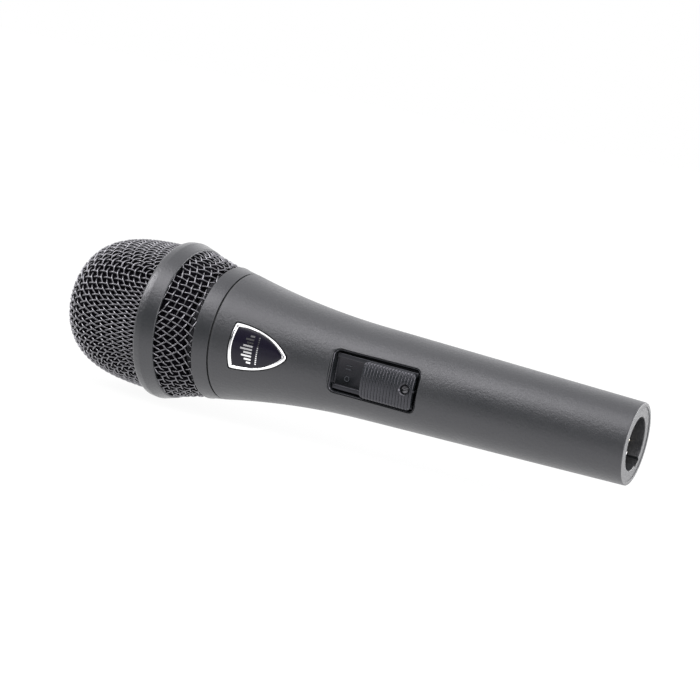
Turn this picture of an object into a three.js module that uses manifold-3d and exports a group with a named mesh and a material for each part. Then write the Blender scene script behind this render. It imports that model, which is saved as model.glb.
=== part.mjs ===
// Handheld dynamic microphone with a slide switch and a screw-on wire grille.
// Millimetres. The long axis lies on X, with the head towards -X and the open tail towards +X.
// The origin is the centre of the insulator face that the cable's plug seats on, inside the tail.
// The switch and the badge face -Y, and +Z is up.
import * as THREE from 'three';
import { mergeVertices } from 'three/addons/utils/BufferGeometryUtils.js';
import Module from 'manifold-3d';

const wasm = await Module();
wasm.setup();

// ---------- driving dimensions ----------
// A station is a distance from the tail's end face towards the head.
const GAP = 0.3; // clearance left between pieces that touch or run on each other
const ROUND = 36; // facets round a large turned piece
const MEDIUM = 28; // facets round a piece inside the capsule
const SMALL = 14; // facets round a pin or a screw

// handle
const TAIL_RADIUS = 12.35;
const HANDLE_TAPER = 0.0267; // radius gained per millimetre along the grip
const FLARE_START = 84; // station where the grip starts to flare
const FLARE_RATE = 0.001993; // quadratic growth of the flare
const HANDLE_END = 131.05;
const HANDLE_WALL = 2;
const TAIL_CHAMFER = 0.7;
const SOCKET_RADIUS = 8; // standard three-pin plug socket
const SOCKET_DEPTH = 25;
const NECK_SEAT_START = 119.5;
const NECK_SEAT_RADIUS = 16.7;
const KEY_ANGLE = 15.4; // degrees below the switch, seen from the tail
const LATCH_ANGLE = 132.7;
const LATCH_DEPTH = 6;
const LATCH_HALF_WIDTH = 1.6;
const LATCH_HEIGHT = 0.9;
const WAIST_FRONT = 112; // station where the inside of the flare ends

// threaded neck
const NECK_TOP = 137.5;
const NECK_RADIUS = 18;
const NECK_BORE = 15;

// badge, a shield whose flat end faces the head
const BADGE_HEAD = 124.2;
const BADGE_TIP = 106.6;
const BADGE_HALF_WIDTH = 7;
const BADGE_BULGE = 0.7;
const BADGE_RIM = 1.1;
const BADGE_RECESS = 0.6;
const BADGE_PROUD = 0.4;
const BADGE_PLATE_PROUD = 0.1;
const BADGE_SHOULDER = 6.7; // reach of the side's curve from the head corner
const BADGE_SWELL = 0.2; // how far the side swells past the head corner
const BADGE_TIP_REACH = 3.2; // reach of the side's curve from the tip
const BADGE_TIP_SPREAD = 0.7; // share of the half width that the curve aims for at the tip
const BADGE_TIP_DRAW = 1.35; // how far the tip draws back for each millimetre of inset
const BADGE_CUT_LOW = 10;
const BADGE_CUT_HIGH = 22;

// switch
const SWITCH_CENTRE = 78.4;
const WINDOW_LENGTH = 28.4;
const WINDOW_WIDTH = 13.6;
const WINDOW_CORNER = 2;
const WINDOW_CUT_LOW = 8;
const ABOVE_SWITCH = 18; // a height clear above every part of the switch
const BEZEL_WALL = 0.5;
const BEZEL_TOP = 14.75; // radius of the bezel's curved top
const BEZEL_FLOOR = 11.2; // height of the pocket's floor above the long axis
const BEZEL_BOTTOM = 9.6;
const RAIL_TOP = 12.6;
const RAIL_WIDTH = 1.4;
const SLIDER_HEAD = 82.2;
const SLIDER_TAIL = 65.6;
const SLIDER_WIDTH = 11.1;
const SLIDER_CORNER = 1.5;
const SLIDER_BOTTOM = 12.95;
const SLIDER_TOP = 14.7;
const SWITCH_TRAVEL = 8.4;
const STEM_HEAD = 73.3;
const STEM_TAIL = 69.9;
const STEM_HALF_WIDTH = 1.2;
const STEM_BOTTOM = 6;
const STEM_CLEARANCE = 0.4;
const ACTUATOR_HEAD = 76;
const ACTUATOR_TAIL = 65.7;
const ACTUATOR_HALF_WIDTH = 3.5;
const SCREW_STATION = 67.9;
const SCREW_HEAD_RADIUS = 1.35;
const SCREW_SHANK_RADIUS = 0.75;
const SCREW_HEAD_LOW = 0.9; // heights of the screw's head above the slider's underside
const SCREW_HEAD_HIGH = 1.4;
const SCREW_SLOT_HALF_WIDTH = 0.2;
const SCREW_SLOT_DEPTH = 0.3;
const SWITCH_BODY_HEAD = 85.5;
const SWITCH_BODY_TAIL = 68.3;
const SWITCH_BODY_HALF_WIDTH = 4.5;
const SWITCH_BODY_FLOOR = 5.5;
const BOARD_HEAD = 92;
const BOARD_TAIL = 62;
const BOARD_TOP = 3.2;
const BOARD_BOTTOM = 1.9;
const BOARD_HALF_WIDTH = 5.2;
const POST_STATIONS = [88, 66.4];
const POST_RADIUS = 1.4;
const POST_HOLE = 0.9;
const POST_HOLE_TOP = 8.6;
const BOARD_HOLE = 1;
const BOARD_SCREW_HEAD = 1.3;
const BOARD_SCREW_SHANK = 0.6;
const BOARD_SCREW_LOW = 0.6;
const BOARD_SCREW_HIGH = 8;

// capsule
const CAPSULE_RADIUS = 16.3;
const CAPSULE_REAR = 142;
const CAPSULE_FRONT = 165.8;
const HOUSING_WALL = 1;
const HOUSING_FLOOR = 1.5;
const HOUSING_HOLE = 10;
const CUP_RADIUS = 13.4;
const CUP_REAR = 112;
const CUP_HOLE = 1;
const CUP_WALL = 1;
const CUP_FLOOR = 1.5;
const FRAME_REAR = 143.8;
const FRAME_FRONT = 158.2;
const FRAME_RADIUS = 15;
const YOKE_FRONT = 156;
const YOKE_RADIUS = 12;
const YOKE_FLOOR = 1.6;
const YOKE_WALL = 1.8;
const MAGNET_FRONT = 152.6;
const MAGNET_RADIUS = 8.6;
const POLE_RADIUS = 9;
const COIL_RADIUS = 9.6; // middle of the winding, in the gap between pole piece and yoke
const COIL_THICKNESS = 0.5;
const COIL_REAR = 152;
const DIAPHRAGM_STATION = 158.6;
const DIAPHRAGM_RADIUS = 14.8;
const DIAPHRAGM_FILM = 0.4;
const DIAPHRAGM_DOME = 2.4; // height of the film's middle dome
const DIAPHRAGM_SHOULDER = 1.9;
const DIAPHRAGM_SHOULDER_RADIUS = 4.5;
const SURROUND_RADIUS = 12.2; // crest of the ring between the coil and the rim
const SURROUND_HEIGHT = 0.9;
const FELT_REAR = 164.6;
const FELT_RADIUS = 14.9;
const CAP_THICKNESS = 1.8;
const CAP_HOLE = 1.9;
const CAP_HOLE_COUNT = 8; // in the outer circle, with one more in the middle
const CAP_HOLE_CIRCLE = 10.5;
const TERMINAL_BOARD_REAR = 110.2;
const TERMINAL_BOARD_RADIUS = 9;
const TERMINAL_TIP = 106.5;
const TERMINAL_RADIUS = 0.8;
const TERMINAL_OFFSET = 3;
const MOUNT_SLEEVE_REAR = 128;
const MOUNT_FLANGE_RADIUS = 17.6;
const MOUNT_FLANGE = 1.8;

// grille
const COLLAR_REAR = 132.05;
const COLLAR_FRONT = 136.75;
const COLLAR_BORE = 18.4;
const COLLAR_REAR_RADIUS = 20.4;
const COLLAR_FRONT_RADIUS = 21.2;
const COLLAR_EDGE = 0.5;
const SLEEVE_RADIUS = 19.8; // the sleeve that carries on under the skirt
const SLEEVE_LENGTH = 3;
const GASKET_RADIUS = 19.9;
const SKIRT_REAR = 137.05;
const SKIRT_FRONT = 148.6;
const SKIRT_REAR_RADIUS = 21;
const SKIRT_FRONT_RADIUS = 23.95;
const MESH_THICKNESS = 0.8;
const BAND_REAR = 148.9;
const BAND_CREST = 152.9;
const BAND_FRONT = 155.6;
const BAND_BORE = 22.9;
const BAND_REAR_RADIUS = 24.2;
const BAND_CREST_RADIUS = 25.5;
const BAND_FRONT_RADIUS = 25.4;
const BAND_FRONT_BORE = 23.7;
const DOME_CENTRE = 149.4;
const DOME_RADIUS = 23.9;
const DOME_LENGTH = 39.8;
const DOME_POWER = 3.33; // superellipse exponent: 2 is round, more is squarer
const FOAM_REAR = 140.2;
const FOAM_REAR_RADIUS = 20.4;
const FOAM_REAR_BORE = 18.7;
const FOAM_RADIUS = 22.4;
const FOAM_LENGTH = 38.2;
const FOAM_BORE = 19.2;
const FOAM_BORE_LENGTH = 34.6;

// connector
const INSERT_FRONT = 15.4; // station of the insulator face that the plug meets
const INSERT_REAR = 23.4;
const INSERT_RADIUS = 7.7;
const PIN_RADIUS = 1.2;
const PIN_CIRCLE = 3.9;
const PIN_TIP = 3;
const PIN_REAR = 29;
const PIN_CHAMFER = 0.5;
const PIN_CHAMFER_LENGTH = 0.6;
const PIN_ANGLES = [45, 135, 270];
const LOCK_SCREW_CIRCLE = 6;
const LOCK_SCREW_RADIUS = 0.9;
const LOCK_SCREW_ANGLE = 90;
const KEY_HALF_WIDTH = 0.8;
const KEY_HEIGHT = 0.8;
const KEY_REAR = 1;
const KEY_FRONT = 18; // the key runs on into a keyway in the insert
const INSERT_CUT_REAR = 10; // holes through the insert run between these stations
const INSERT_CUT_FRONT = 30;

// wiring
const WIRE_RADIUS = 0.55;
const WIRE_END_GAP = 0.4; // clearance between a wire's end and the board
const WIRE_SLACK = 1.4; // how far a wire hangs off the straight line

// ---------- materials ----------
function finish(color, roughness, metalness) {
  return new THREE.MeshStandardMaterial({ color, roughness, metalness });
}

const bodyPaint = finish(0x55565a, 0.5, 0.4);
const meshPaint = finish(0x4a4b4d, 0.45, 0.5);
const blackPlastic = finish(0x1b1b1e, 0.5, 0);
const chrome = finish(0xe8e8e8, 0.12, 1);
const gloss = finish(0x0c0c12, 0.1, 0);
const steel = finish(0x9a9ca0, 0.35, 1);
const brass = finish(0xc8a45a, 0.3, 1);
const copper = finish(0xb36a3c, 0.4, 1);
const rubber = finish(0x222222, 0.9, 0);
const foam = finish(0x18181a, 1, 0);
const film = finish(0xd9d2b8, 0.3, 0);
const board = finish(0x2f5a3c, 0.6, 0);
const insulator = finish(0x101010, 0.6, 0);

// ---------- solids ----------
function signedVolume(geometry) {
  const p = geometry.attributes.position;
  const index = geometry.index;
  const a = new THREE.Vector3();
  const b = new THREE.Vector3();
  const c = new THREE.Vector3();
  let sum = 0;
  for (let i = 0; i < index.count; i += 3) {
    a.fromBufferAttribute(p, index.getX(i));
    b.fromBufferAttribute(p, index.getX(i + 1));
    c.fromBufferAttribute(p, index.getX(i + 2));
    sum += a.dot(b.cross(c));
  }
  return sum / 6;
}

// A closed geometry as a manifold solid, with its faces turned to point out.
function solid(geometry) {
  const plain = geometry.clone();
  plain.deleteAttribute('normal');
  plain.deleteAttribute('uv');
  const merged = mergeVertices(plain, 1e-4);
  const triangles = Array.from(merged.index.array);
  const flip = signedVolume(merged) < 0;
  const kept = [];
  for (let i = 0; i < triangles.length; i += 3) {
    const [a, b, c] = triangles.slice(i, i + 3);
    if (a !== b && b !== c && a !== c) {
      kept.push(a, flip ? c : b, flip ? b : c);
    }
  }
  return new wasm.Manifold(new wasm.Mesh({
    numProp: 3,
    vertProperties: new Float32Array(merged.attributes.position.array),
    triVerts: new Uint32Array(kept),
  }));
}

function meshOf(name, shape, material) {
  const data = shape.getMesh();
  const geometry = new THREE.BufferGeometry();
  geometry.setAttribute('position', new THREE.BufferAttribute(data.vertProperties, 3));
  geometry.setIndex(new THREE.BufferAttribute(data.triVerts, 1));
  geometry.computeVertexNormals();
  const mesh = new THREE.Mesh(geometry, material);
  mesh.name = name;
  return mesh;
}

// A solid of revolution about the long axis, from a closed outline of [station, radius] points.
function turned(outline, facets = ROUND) {
  const points = outline.map(([station, radius]) => new THREE.Vector2(radius, station));
  points.push(points[0].clone());
  const geometry = new THREE.LatheGeometry(points, facets);
  geometry.rotateZ(Math.PI / 2);
  return solid(geometry);
}

function tube(rear, front, inner, outer, facets = ROUND) {
  return turned([[rear, inner], [rear, outer], [front, outer], [front, inner]], facets);
}

function disc(rear, front, radius, facets = ROUND) {
  return tube(rear, front, 0, radius, facets);
}

// A box by its stations, its half width across Z and its heights above the long axis towards -Y.
function block(tail, head, halfWidth, low, high, z = 0) {
  const geometry = new THREE.BoxGeometry(head - tail, high - low, 2 * halfWidth);
  geometry.translate(-(head + tail) / 2, -(low + high) / 2, z);
  return solid(geometry);
}

// A round post that stands along -Y.
function post(station, radius, low, high, z = 0) {
  const geometry = new THREE.CylinderGeometry(radius, radius, high - low, SMALL);
  geometry.translate(-station, -(low + high) / 2, z);
  return solid(geometry);
}

// A flat outline in X and Z, extruded along -Y from the low height to the high one.
function prism(shape, low, high, curveSegments = 6) {
  const depth = high - low;
  const geometry = new THREE.ExtrudeGeometry(shape, { depth, bevelEnabled: false, curveSegments });
  geometry.rotateX(Math.PI / 2);
  geometry.translate(0, -low, 0);
  return solid(geometry);
}

function roundedWindow(length, width, corner) {
  const x = length / 2;
  const z = width / 2;
  const shape = new THREE.Shape();
  shape.moveTo(-x + corner, -z);
  shape.lineTo(x - corner, -z);
  shape.absarc(x - corner, -z + corner, corner, -Math.PI / 2, 0);
  shape.lineTo(x, z - corner);
  shape.absarc(x - corner, z - corner, corner, 0, Math.PI / 2);
  shape.lineTo(-x + corner, z);
  shape.absarc(-x + corner, z - corner, corner, Math.PI / 2, Math.PI);
  shape.lineTo(-x, -z + corner);
  shape.absarc(-x + corner, -z + corner, corner, Math.PI, 1.5 * Math.PI);
  return shape;
}

// A wire of round section through a list of [station, height, z] points.
function wire(points, radius) {
  const path = new THREE.CatmullRomCurve3(points.map(([s, h, z]) => new THREE.Vector3(-s, -h, z)));
  const section = new THREE.Shape();
  section.absarc(0, 0, radius, 0, 2 * Math.PI);
  const geometry = new THREE.ExtrudeGeometry(section, { extrudePath: path, steps: 7, curveSegments: 3 });
  return solid(geometry);
}

function handleRadius(station) {
  const flare = Math.max(0, station - FLARE_START);
  return TAIL_RADIUS + HANDLE_TAPER * station + FLARE_RATE * flare * flare;
}

function stations(from, to, count) {
  return Array.from({ length: count + 1 }, (_, i) => from + ((to - from) * i) / count);
}

// The profile of a dome, from a station on its side to its tip, with points closer towards the tip.
function superellipse(centre, radius, length, from, count) {
  const start = Math.asin((from - centre) / length);
  return stations(start, Math.PI / 2, count).map((angle) => {
    const along = Math.sin(angle);
    const across = radius * (1 - along ** DOME_POWER) ** (1 / DOME_POWER);
    return [centre + length * along, across];
  });
}

// The space within a given distance of the handle's surface, between two stations.
function handleOffset(from, to, offset, count = 6) {
  const skin = stations(from, to, count).map((s) => [s, handleRadius(s) + offset]);
  return turned([[from, 0], ...skin, [to, 0]]);
}

// ---------- handle ----------
function handleShell() {
  const grip = stations(TAIL_CHAMFER, FLARE_START, 1).map((s) => [s, handleRadius(s)]);
  const flare = stations(FLARE_START + 8, HANDLE_END, 5).map((s) => [s, handleRadius(s)]);
  const cavity = stations(FLARE_START, SOCKET_DEPTH, 1).map((s) => [s, handleRadius(s) - HANDLE_WALL]);
  const waist = stations(WAIST_FRONT, FLARE_START + 10, 2).map((s) => [s, handleRadius(s) - HANDLE_WALL]);
  const outline = [
    [0, SOCKET_RADIUS],
    [0, TAIL_RADIUS - TAIL_CHAMFER],
    ...grip,
    ...flare,
    [HANDLE_END, NECK_SEAT_RADIUS],
    [NECK_SEAT_START, NECK_SEAT_RADIUS],
    ...waist,
    ...cavity,
    [SOCKET_DEPTH, SOCKET_RADIUS],
  ];
  return turned(outline)
    .subtract(windowCut())
    .subtract(badgeRecess())
    .add(plugKey())
    .subtract(latchNotch());
}

function windowCut() {
  return prism(roundedWindow(WINDOW_LENGTH, WINDOW_WIDTH, WINDOW_CORNER), WINDOW_CUT_LOW, ABOVE_SWITCH)
    .translate([-SWITCH_CENTRE, 0, 0]);
}

function turnedAboutAxis(shape, degrees) {
  return shape.rotate([degrees, 0, 0]);
}

function plugKey() {
  const low = SOCKET_RADIUS - KEY_HEIGHT;
  return turnedAboutAxis(block(KEY_REAR, KEY_FRONT, KEY_HALF_WIDTH, low, SOCKET_RADIUS + 1), KEY_ANGLE);
}

function latchNotch() {
  const high = SOCKET_RADIUS + LATCH_HEIGHT;
  return turnedAboutAxis(block(-1, LATCH_DEPTH, LATCH_HALF_WIDTH, SOCKET_RADIUS - 1, high), LATCH_ANGLE);
}

// The neck slips into the handle's flare and carries the grille's thread outside it.
function threadedNeck() {
  return turned([
    [NECK_SEAT_START + GAP, NECK_BORE],
    [NECK_SEAT_START + GAP, NECK_SEAT_RADIUS - GAP],
    [HANDLE_END + GAP, NECK_SEAT_RADIUS - GAP],
    [HANDLE_END + GAP, NECK_RADIUS],
    [NECK_TOP, NECK_RADIUS],
    [NECK_TOP, NECK_BORE],
  ]);
}

// ---------- badge ----------
function shield(inset) {
  const head = -BADGE_HEAD + inset;
  const tip = -BADGE_TIP - BADGE_TIP_DRAW * inset;
  const half = BADGE_HALF_WIDTH - inset;
  const shoulder = head + BADGE_SHOULDER;
  const nose = tip - BADGE_TIP_REACH;
  const spread = BADGE_TIP_SPREAD * half;
  const shape = new THREE.Shape();
  shape.moveTo(head, -half);
  shape.bezierCurveTo(shoulder, -half - BADGE_SWELL, nose, -spread, tip, 0);
  shape.bezierCurveTo(nose, spread, shoulder, half + BADGE_SWELL, head, half);
  shape.quadraticCurveTo(head - 2 * BADGE_BULGE, 0, head, -half);
  return shape;
}

// The part of a prism that lies between two offsets from the handle's surface.
function badgeSlice(shape, low, high) {
  const outside = handleOffset(BADGE_TIP - 4, BADGE_HEAD + 4, high);
  const inside = handleOffset(BADGE_TIP - 5, BADGE_HEAD + 5, low);
  return prism(shape, BADGE_CUT_LOW, BADGE_CUT_HIGH).intersect(outside).subtract(inside);
}

function badgeRecess() {
  return badgeSlice(shield(-GAP), -BADGE_RECESS, 2);
}

function badgeRim() {
  const ring = badgeSlice(shield(0), -BADGE_RECESS + GAP, BADGE_PROUD);
  return ring.subtract(prism(shield(BADGE_RIM), BADGE_CUT_LOW, BADGE_CUT_HIGH));
}

function badgePlate() {
  return badgeSlice(shield(BADGE_RIM + GAP), -BADGE_RECESS + GAP, BADGE_PLATE_PROUD);
}

// ---------- switch ----------
function underCurve(shape, radius) {
  return shape.intersect(disc(SWITCH_CENTRE - 20, SWITCH_CENTRE + 20, radius));
}

function switchBezel() {
  const length = WINDOW_LENGTH - 2 * GAP;
  const width = WINDOW_WIDTH - 2 * GAP;
  const outer = prism(roundedWindow(length, width, WINDOW_CORNER), BEZEL_BOTTOM, ABOVE_SWITCH);
  const pocketLength = length - 2 * BEZEL_WALL;
  const pocketWidth = width - 2 * BEZEL_WALL;
  const pocketShape = roundedWindow(pocketLength, pocketWidth, WINDOW_CORNER / 2);
  const pocket = prism(pocketShape, BEZEL_FLOOR, ABOVE_SWITCH + 1);
  const railInset = (pocketWidth - RAIL_WIDTH) / 2;
  const rail = block(-pocketLength / 2, pocketLength / 2, RAIL_WIDTH / 2 + 0.1, BEZEL_FLOOR - 0.1, RAIL_TOP);
  let bezel = outer.subtract(pocket)
    .add(rail.translate([0, 0, railInset]))
    .add(rail.translate([0, 0, -railInset]))
    .translate([-SWITCH_CENTRE, 0, 0]);
  bezel = underCurve(bezel, BEZEL_TOP).subtract(stemSlot(BEZEL_BOTTOM - 1, BEZEL_FLOOR + 1));
  for (const station of POST_STATIONS) {
    bezel = bezel.add(post(station, POST_RADIUS, BOARD_TOP + GAP, BEZEL_BOTTOM + 0.1));
    bezel = bezel.subtract(post(station, POST_HOLE, BOARD_TOP, POST_HOLE_TOP));
  }
  return bezel;
}

// The slot that the actuator's stem runs in: its own length, the travel and a little clearance.
function stemSlot(low, high) {
  const tail = STEM_TAIL - STEM_CLEARANCE;
  const head = STEM_HEAD + SWITCH_TRAVEL + STEM_CLEARANCE;
  return block(tail, head, STEM_HALF_WIDTH + STEM_CLEARANCE, low, high);
}

function switchSlider() {
  const length = SLIDER_HEAD - SLIDER_TAIL;
  const seat = SLIDER_BOTTOM + SCREW_HEAD_LOW - GAP;
  const cap = prism(roundedWindow(length, SLIDER_WIDTH, SLIDER_CORNER), SLIDER_BOTTOM, ABOVE_SWITCH)
    .translate([-(SLIDER_HEAD + SLIDER_TAIL) / 2, 0, 0]);
  return underCurve(cap, SLIDER_TOP)
    .subtract(post(SCREW_STATION, SCREW_HEAD_RADIUS + GAP, seat, ABOVE_SWITCH))
    .subtract(post(SCREW_STATION, SCREW_SHANK_RADIUS + GAP, SLIDER_BOTTOM - 1, ABOVE_SWITCH));
}

function sliderScrew() {
  const top = SLIDER_BOTTOM + SCREW_HEAD_HIGH;
  const shoulder = SLIDER_BOTTOM + SCREW_HEAD_LOW;
  const slotFloor = top - SCREW_SLOT_DEPTH;
  return post(SCREW_STATION, SCREW_HEAD_RADIUS, shoulder, top)
    .add(post(SCREW_STATION, SCREW_SHANK_RADIUS, BEZEL_FLOOR + 2 * GAP, shoulder + 0.1))
    .subtract(block(SCREW_STATION - 2, SCREW_STATION + 2, SCREW_SLOT_HALF_WIDTH, slotFloor, top + 1));
}

function switchActuator() {
  return block(ACTUATOR_TAIL, ACTUATOR_HEAD, ACTUATOR_HALF_WIDTH, BEZEL_FLOOR + GAP, SLIDER_BOTTOM - GAP)
    .add(block(STEM_TAIL, STEM_HEAD, STEM_HALF_WIDTH, STEM_BOTTOM, BEZEL_FLOOR + 1))
    .subtract(post(SCREW_STATION, SCREW_SHANK_RADIUS + GAP, BEZEL_FLOOR - 1, SLIDER_BOTTOM));
}

function slideSwitchBody() {
  const low = BOARD_TOP + GAP;
  return block(SWITCH_BODY_TAIL, SWITCH_BODY_HEAD, SWITCH_BODY_HALF_WIDTH, low, BEZEL_BOTTOM - GAP)
    .subtract(stemSlot(SWITCH_BODY_FLOOR, BEZEL_BOTTOM));
}

function switchBoard() {
  let plate = block(BOARD_TAIL, BOARD_HEAD, BOARD_HALF_WIDTH, BOARD_BOTTOM, BOARD_TOP);
  for (const station of POST_STATIONS) {
    plate = plate.subtract(post(station, BOARD_HOLE, BOARD_BOTTOM - 1, BOARD_TOP + 1));
  }
  return plate;
}

function switchScrew(station) {
  return post(station, BOARD_SCREW_HEAD, BOARD_SCREW_LOW, BOARD_BOTTOM - GAP)
    .add(post(station, BOARD_SCREW_SHANK, BOARD_SCREW_LOW + GAP, BOARD_SCREW_HIGH));
}

// ---------- capsule ----------
function capsuleHousing() {
  return turned([
    [CAPSULE_REAR, HOUSING_HOLE],
    [CAPSULE_REAR, CAPSULE_RADIUS],
    [CAPSULE_FRONT, CAPSULE_RADIUS],
    [CAPSULE_FRONT, CAPSULE_RADIUS - HOUSING_WALL],
    [CAPSULE_REAR + HOUSING_FLOOR, CAPSULE_RADIUS - HOUSING_WALL],
    [CAPSULE_REAR + HOUSING_FLOOR, HOUSING_HOLE],
  ]);
}

// A cup that is open at its front, with an optional hole in its rear wall.
function cup(rear, front, radius, wall, floor, hole = 0) {
  return turned([
    [rear, hole],
    [rear, radius],
    [front, radius],
    [front, radius - wall],
    [rear + floor, radius - wall],
    [rear + floor, hole],
  ], MEDIUM);
}

function rearChamberCup() {
  return cup(CUP_REAR, CAPSULE_REAR - GAP, CUP_RADIUS, CUP_WALL, CUP_FLOOR, CUP_HOLE);
}

function diaphragm() {
  const rear = DIAPHRAGM_STATION;
  const front = rear + DIAPHRAGM_FILM;
  return turned([
    [rear + DIAPHRAGM_DOME, 0],
    [rear + DIAPHRAGM_SHOULDER, DIAPHRAGM_SHOULDER_RADIUS],
    [rear, COIL_RADIUS],
    [rear + SURROUND_HEIGHT, SURROUND_RADIUS],
    [rear, DIAPHRAGM_RADIUS],
    [front, DIAPHRAGM_RADIUS],
    [front + SURROUND_HEIGHT, SURROUND_RADIUS],
    [front, COIL_RADIUS],
    [front + DIAPHRAGM_SHOULDER, DIAPHRAGM_SHOULDER_RADIUS],
    [front + DIAPHRAGM_DOME, 0],
  ], MEDIUM);
}

function voiceCoil() {
  const half = COIL_THICKNESS / 2;
  return tube(COIL_REAR, DIAPHRAGM_STATION - GAP, COIL_RADIUS - half, COIL_RADIUS + half, MEDIUM);
}

function terminal(z) {
  return disc(TERMINAL_TIP, TERMINAL_BOARD_REAR - GAP, TERMINAL_RADIUS, SMALL).translate([0, 0, z]);
}

function resonatorCap() {
  const rear = CAPSULE_FRONT + GAP;
  let cap = disc(rear, rear + CAP_THICKNESS, CAPSULE_RADIUS, MEDIUM);
  const hole = disc(rear - 1, rear + CAP_THICKNESS + 1, CAP_HOLE, SMALL);
  for (let i = 0; i < CAP_HOLE_COUNT; i += 1) {
    cap = cap.subtract(atPinCircle(hole, (360 * i) / CAP_HOLE_COUNT, CAP_HOLE_CIRCLE));
  }
  return cap.subtract(hole);
}

// The rubber collar holds the capsule off the neck: a sleeve inside it and a flange on its front.
function shockMount() {
  const bore = CUP_RADIUS + GAP;
  const seat = NECK_TOP + GAP;
  return turned([
    [MOUNT_SLEEVE_REAR, bore],
    [MOUNT_SLEEVE_REAR, NECK_BORE - GAP],
    [seat, NECK_BORE - GAP],
    [seat, MOUNT_FLANGE_RADIUS],
    [seat + MOUNT_FLANGE, MOUNT_FLANGE_RADIUS],
    [seat + MOUNT_FLANGE, CAPSULE_RADIUS],
    [CAPSULE_REAR - GAP, CAPSULE_RADIUS],
    [CAPSULE_REAR - GAP, bore],
  ]);
}

// ---------- grille ----------
function grilleCollar() {
  return turned([
    [COLLAR_REAR, COLLAR_BORE],
    [COLLAR_REAR, COLLAR_REAR_RADIUS],
    [COLLAR_FRONT - COLLAR_EDGE, COLLAR_FRONT_RADIUS],
    [COLLAR_FRONT, COLLAR_FRONT_RADIUS - 0.1],
    [COLLAR_FRONT, SLEEVE_RADIUS],
    [COLLAR_FRONT + SLEEVE_LENGTH, SLEEVE_RADIUS],
    [COLLAR_FRONT + SLEEVE_LENGTH, COLLAR_BORE],
  ]);
}

function skirtMesh() {
  return turned([
    [SKIRT_REAR, SKIRT_REAR_RADIUS - MESH_THICKNESS],
    [SKIRT_REAR, SKIRT_REAR_RADIUS],
    [SKIRT_FRONT, SKIRT_FRONT_RADIUS],
    [SKIRT_FRONT, SKIRT_FRONT_RADIUS - MESH_THICKNESS],
  ]);
}

function equatorBand() {
  return turned([
    [BAND_REAR, BAND_BORE],
    [BAND_REAR, BAND_REAR_RADIUS],
    [BAND_CREST, BAND_CREST_RADIUS],
    [BAND_FRONT, BAND_FRONT_RADIUS],
    [BAND_FRONT, BAND_FRONT_BORE],
  ]);
}

function domeMesh() {
  const start = BAND_FRONT + GAP;
  const outside = superellipse(DOME_CENTRE, DOME_RADIUS, DOME_LENGTH, start, 8);
  const bore = DOME_RADIUS - MESH_THICKNESS;
  const inside = superellipse(DOME_CENTRE, bore, DOME_LENGTH - MESH_THICKNESS, start, 8);
  return turned([...outside, ...inside.reverse()]);
}

function foamLiner() {
  const start = DOME_CENTRE + 0.1;
  const outside = superellipse(DOME_CENTRE, FOAM_RADIUS, FOAM_LENGTH, start, 6);
  const inside = superellipse(DOME_CENTRE, FOAM_BORE, FOAM_BORE_LENGTH, start, 5);
  return turned([
    [FOAM_REAR, FOAM_REAR_RADIUS],
    ...outside,
    ...inside.reverse(),
    [FOAM_REAR, FOAM_REAR_BORE],
  ]);
}

// ---------- connector ----------
function atPinCircle(shape, degrees, circle) {
  const angle = (degrees * Math.PI) / 180;
  return shape.translate([0, -circle * Math.sin(angle), circle * Math.cos(angle)]);
}

function insertHole(radius, angle, circle) {
  return atPinCircle(disc(INSERT_CUT_REAR, INSERT_CUT_FRONT, radius + GAP, SMALL), angle, circle);
}

function connectorInsert() {
  let insert = disc(INSERT_FRONT, INSERT_REAR, INSERT_RADIUS);
  for (const angle of PIN_ANGLES) {
    insert = insert.subtract(insertHole(PIN_RADIUS, angle, PIN_CIRCLE));
  }
  const low = SOCKET_RADIUS - KEY_HEIGHT - GAP;
  const keyway = block(INSERT_CUT_REAR, KEY_FRONT + GAP, KEY_HALF_WIDTH + GAP, low, SOCKET_RADIUS + 2);
  return insert
    .subtract(insertHole(LOCK_SCREW_RADIUS, LOCK_SCREW_ANGLE, LOCK_SCREW_CIRCLE))
    .subtract(turnedAboutAxis(keyway, KEY_ANGLE));
}

function connectorPin(angle) {
  const pin = turned([
    [PIN_TIP, 0],
    [PIN_TIP, PIN_RADIUS - PIN_CHAMFER],
    [PIN_TIP + PIN_CHAMFER_LENGTH, PIN_RADIUS],
    [PIN_REAR, PIN_RADIUS],
    [PIN_REAR, 0],
  ], SMALL);
  return atPinCircle(pin, angle, PIN_CIRCLE);
}

function lockScrew() {
  const screw = disc(INSERT_FRONT + 0.4, INSERT_REAR - 1, LOCK_SCREW_RADIUS, SMALL);
  return atPinCircle(screw, LOCK_SCREW_ANGLE, LOCK_SCREW_CIRCLE);
}

// ---------- wiring ----------
const BOARD_MIDDLE = (BOARD_TOP + BOARD_BOTTOM) / 2;

function capsuleWire(z) {
  const start = TERMINAL_TIP - GAP;
  const end = BOARD_HEAD + WIRE_END_GAP;
  return wire([
    [start, 0, z],
    [start - 2 * WIRE_SLACK, 0, 1.2 * z],
    [end + 3 * WIRE_SLACK, WIRE_SLACK, 0.8 * z],
    [end, BOARD_MIDDLE, 0.8 * z],
  ], WIRE_RADIUS);
}

function pinWire(z, angle) {
  const radians = (angle * Math.PI) / 180;
  const height = PIN_CIRCLE * Math.sin(radians);
  const side = PIN_CIRCLE * Math.cos(radians);
  const start = BOARD_TAIL - WIRE_END_GAP;
  const end = PIN_REAR + GAP;
  return wire([
    [start, BOARD_MIDDLE, z],
    [start - 5 * WIRE_SLACK, WIRE_SLACK, 1.3 * z],
    [end + 6 * WIRE_SLACK, height, 0.5 * (side + z)],
    [end, height, side],
  ], WIRE_RADIUS);
}

// ---------- assembly ----------
const microphone = new THREE.Group();
microphone.name = 'handheld_microphone';
microphone.position.x = INSERT_FRONT;

function place(name, shape, material) {
  microphone.add(meshOf(name, shape, material));
}

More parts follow.
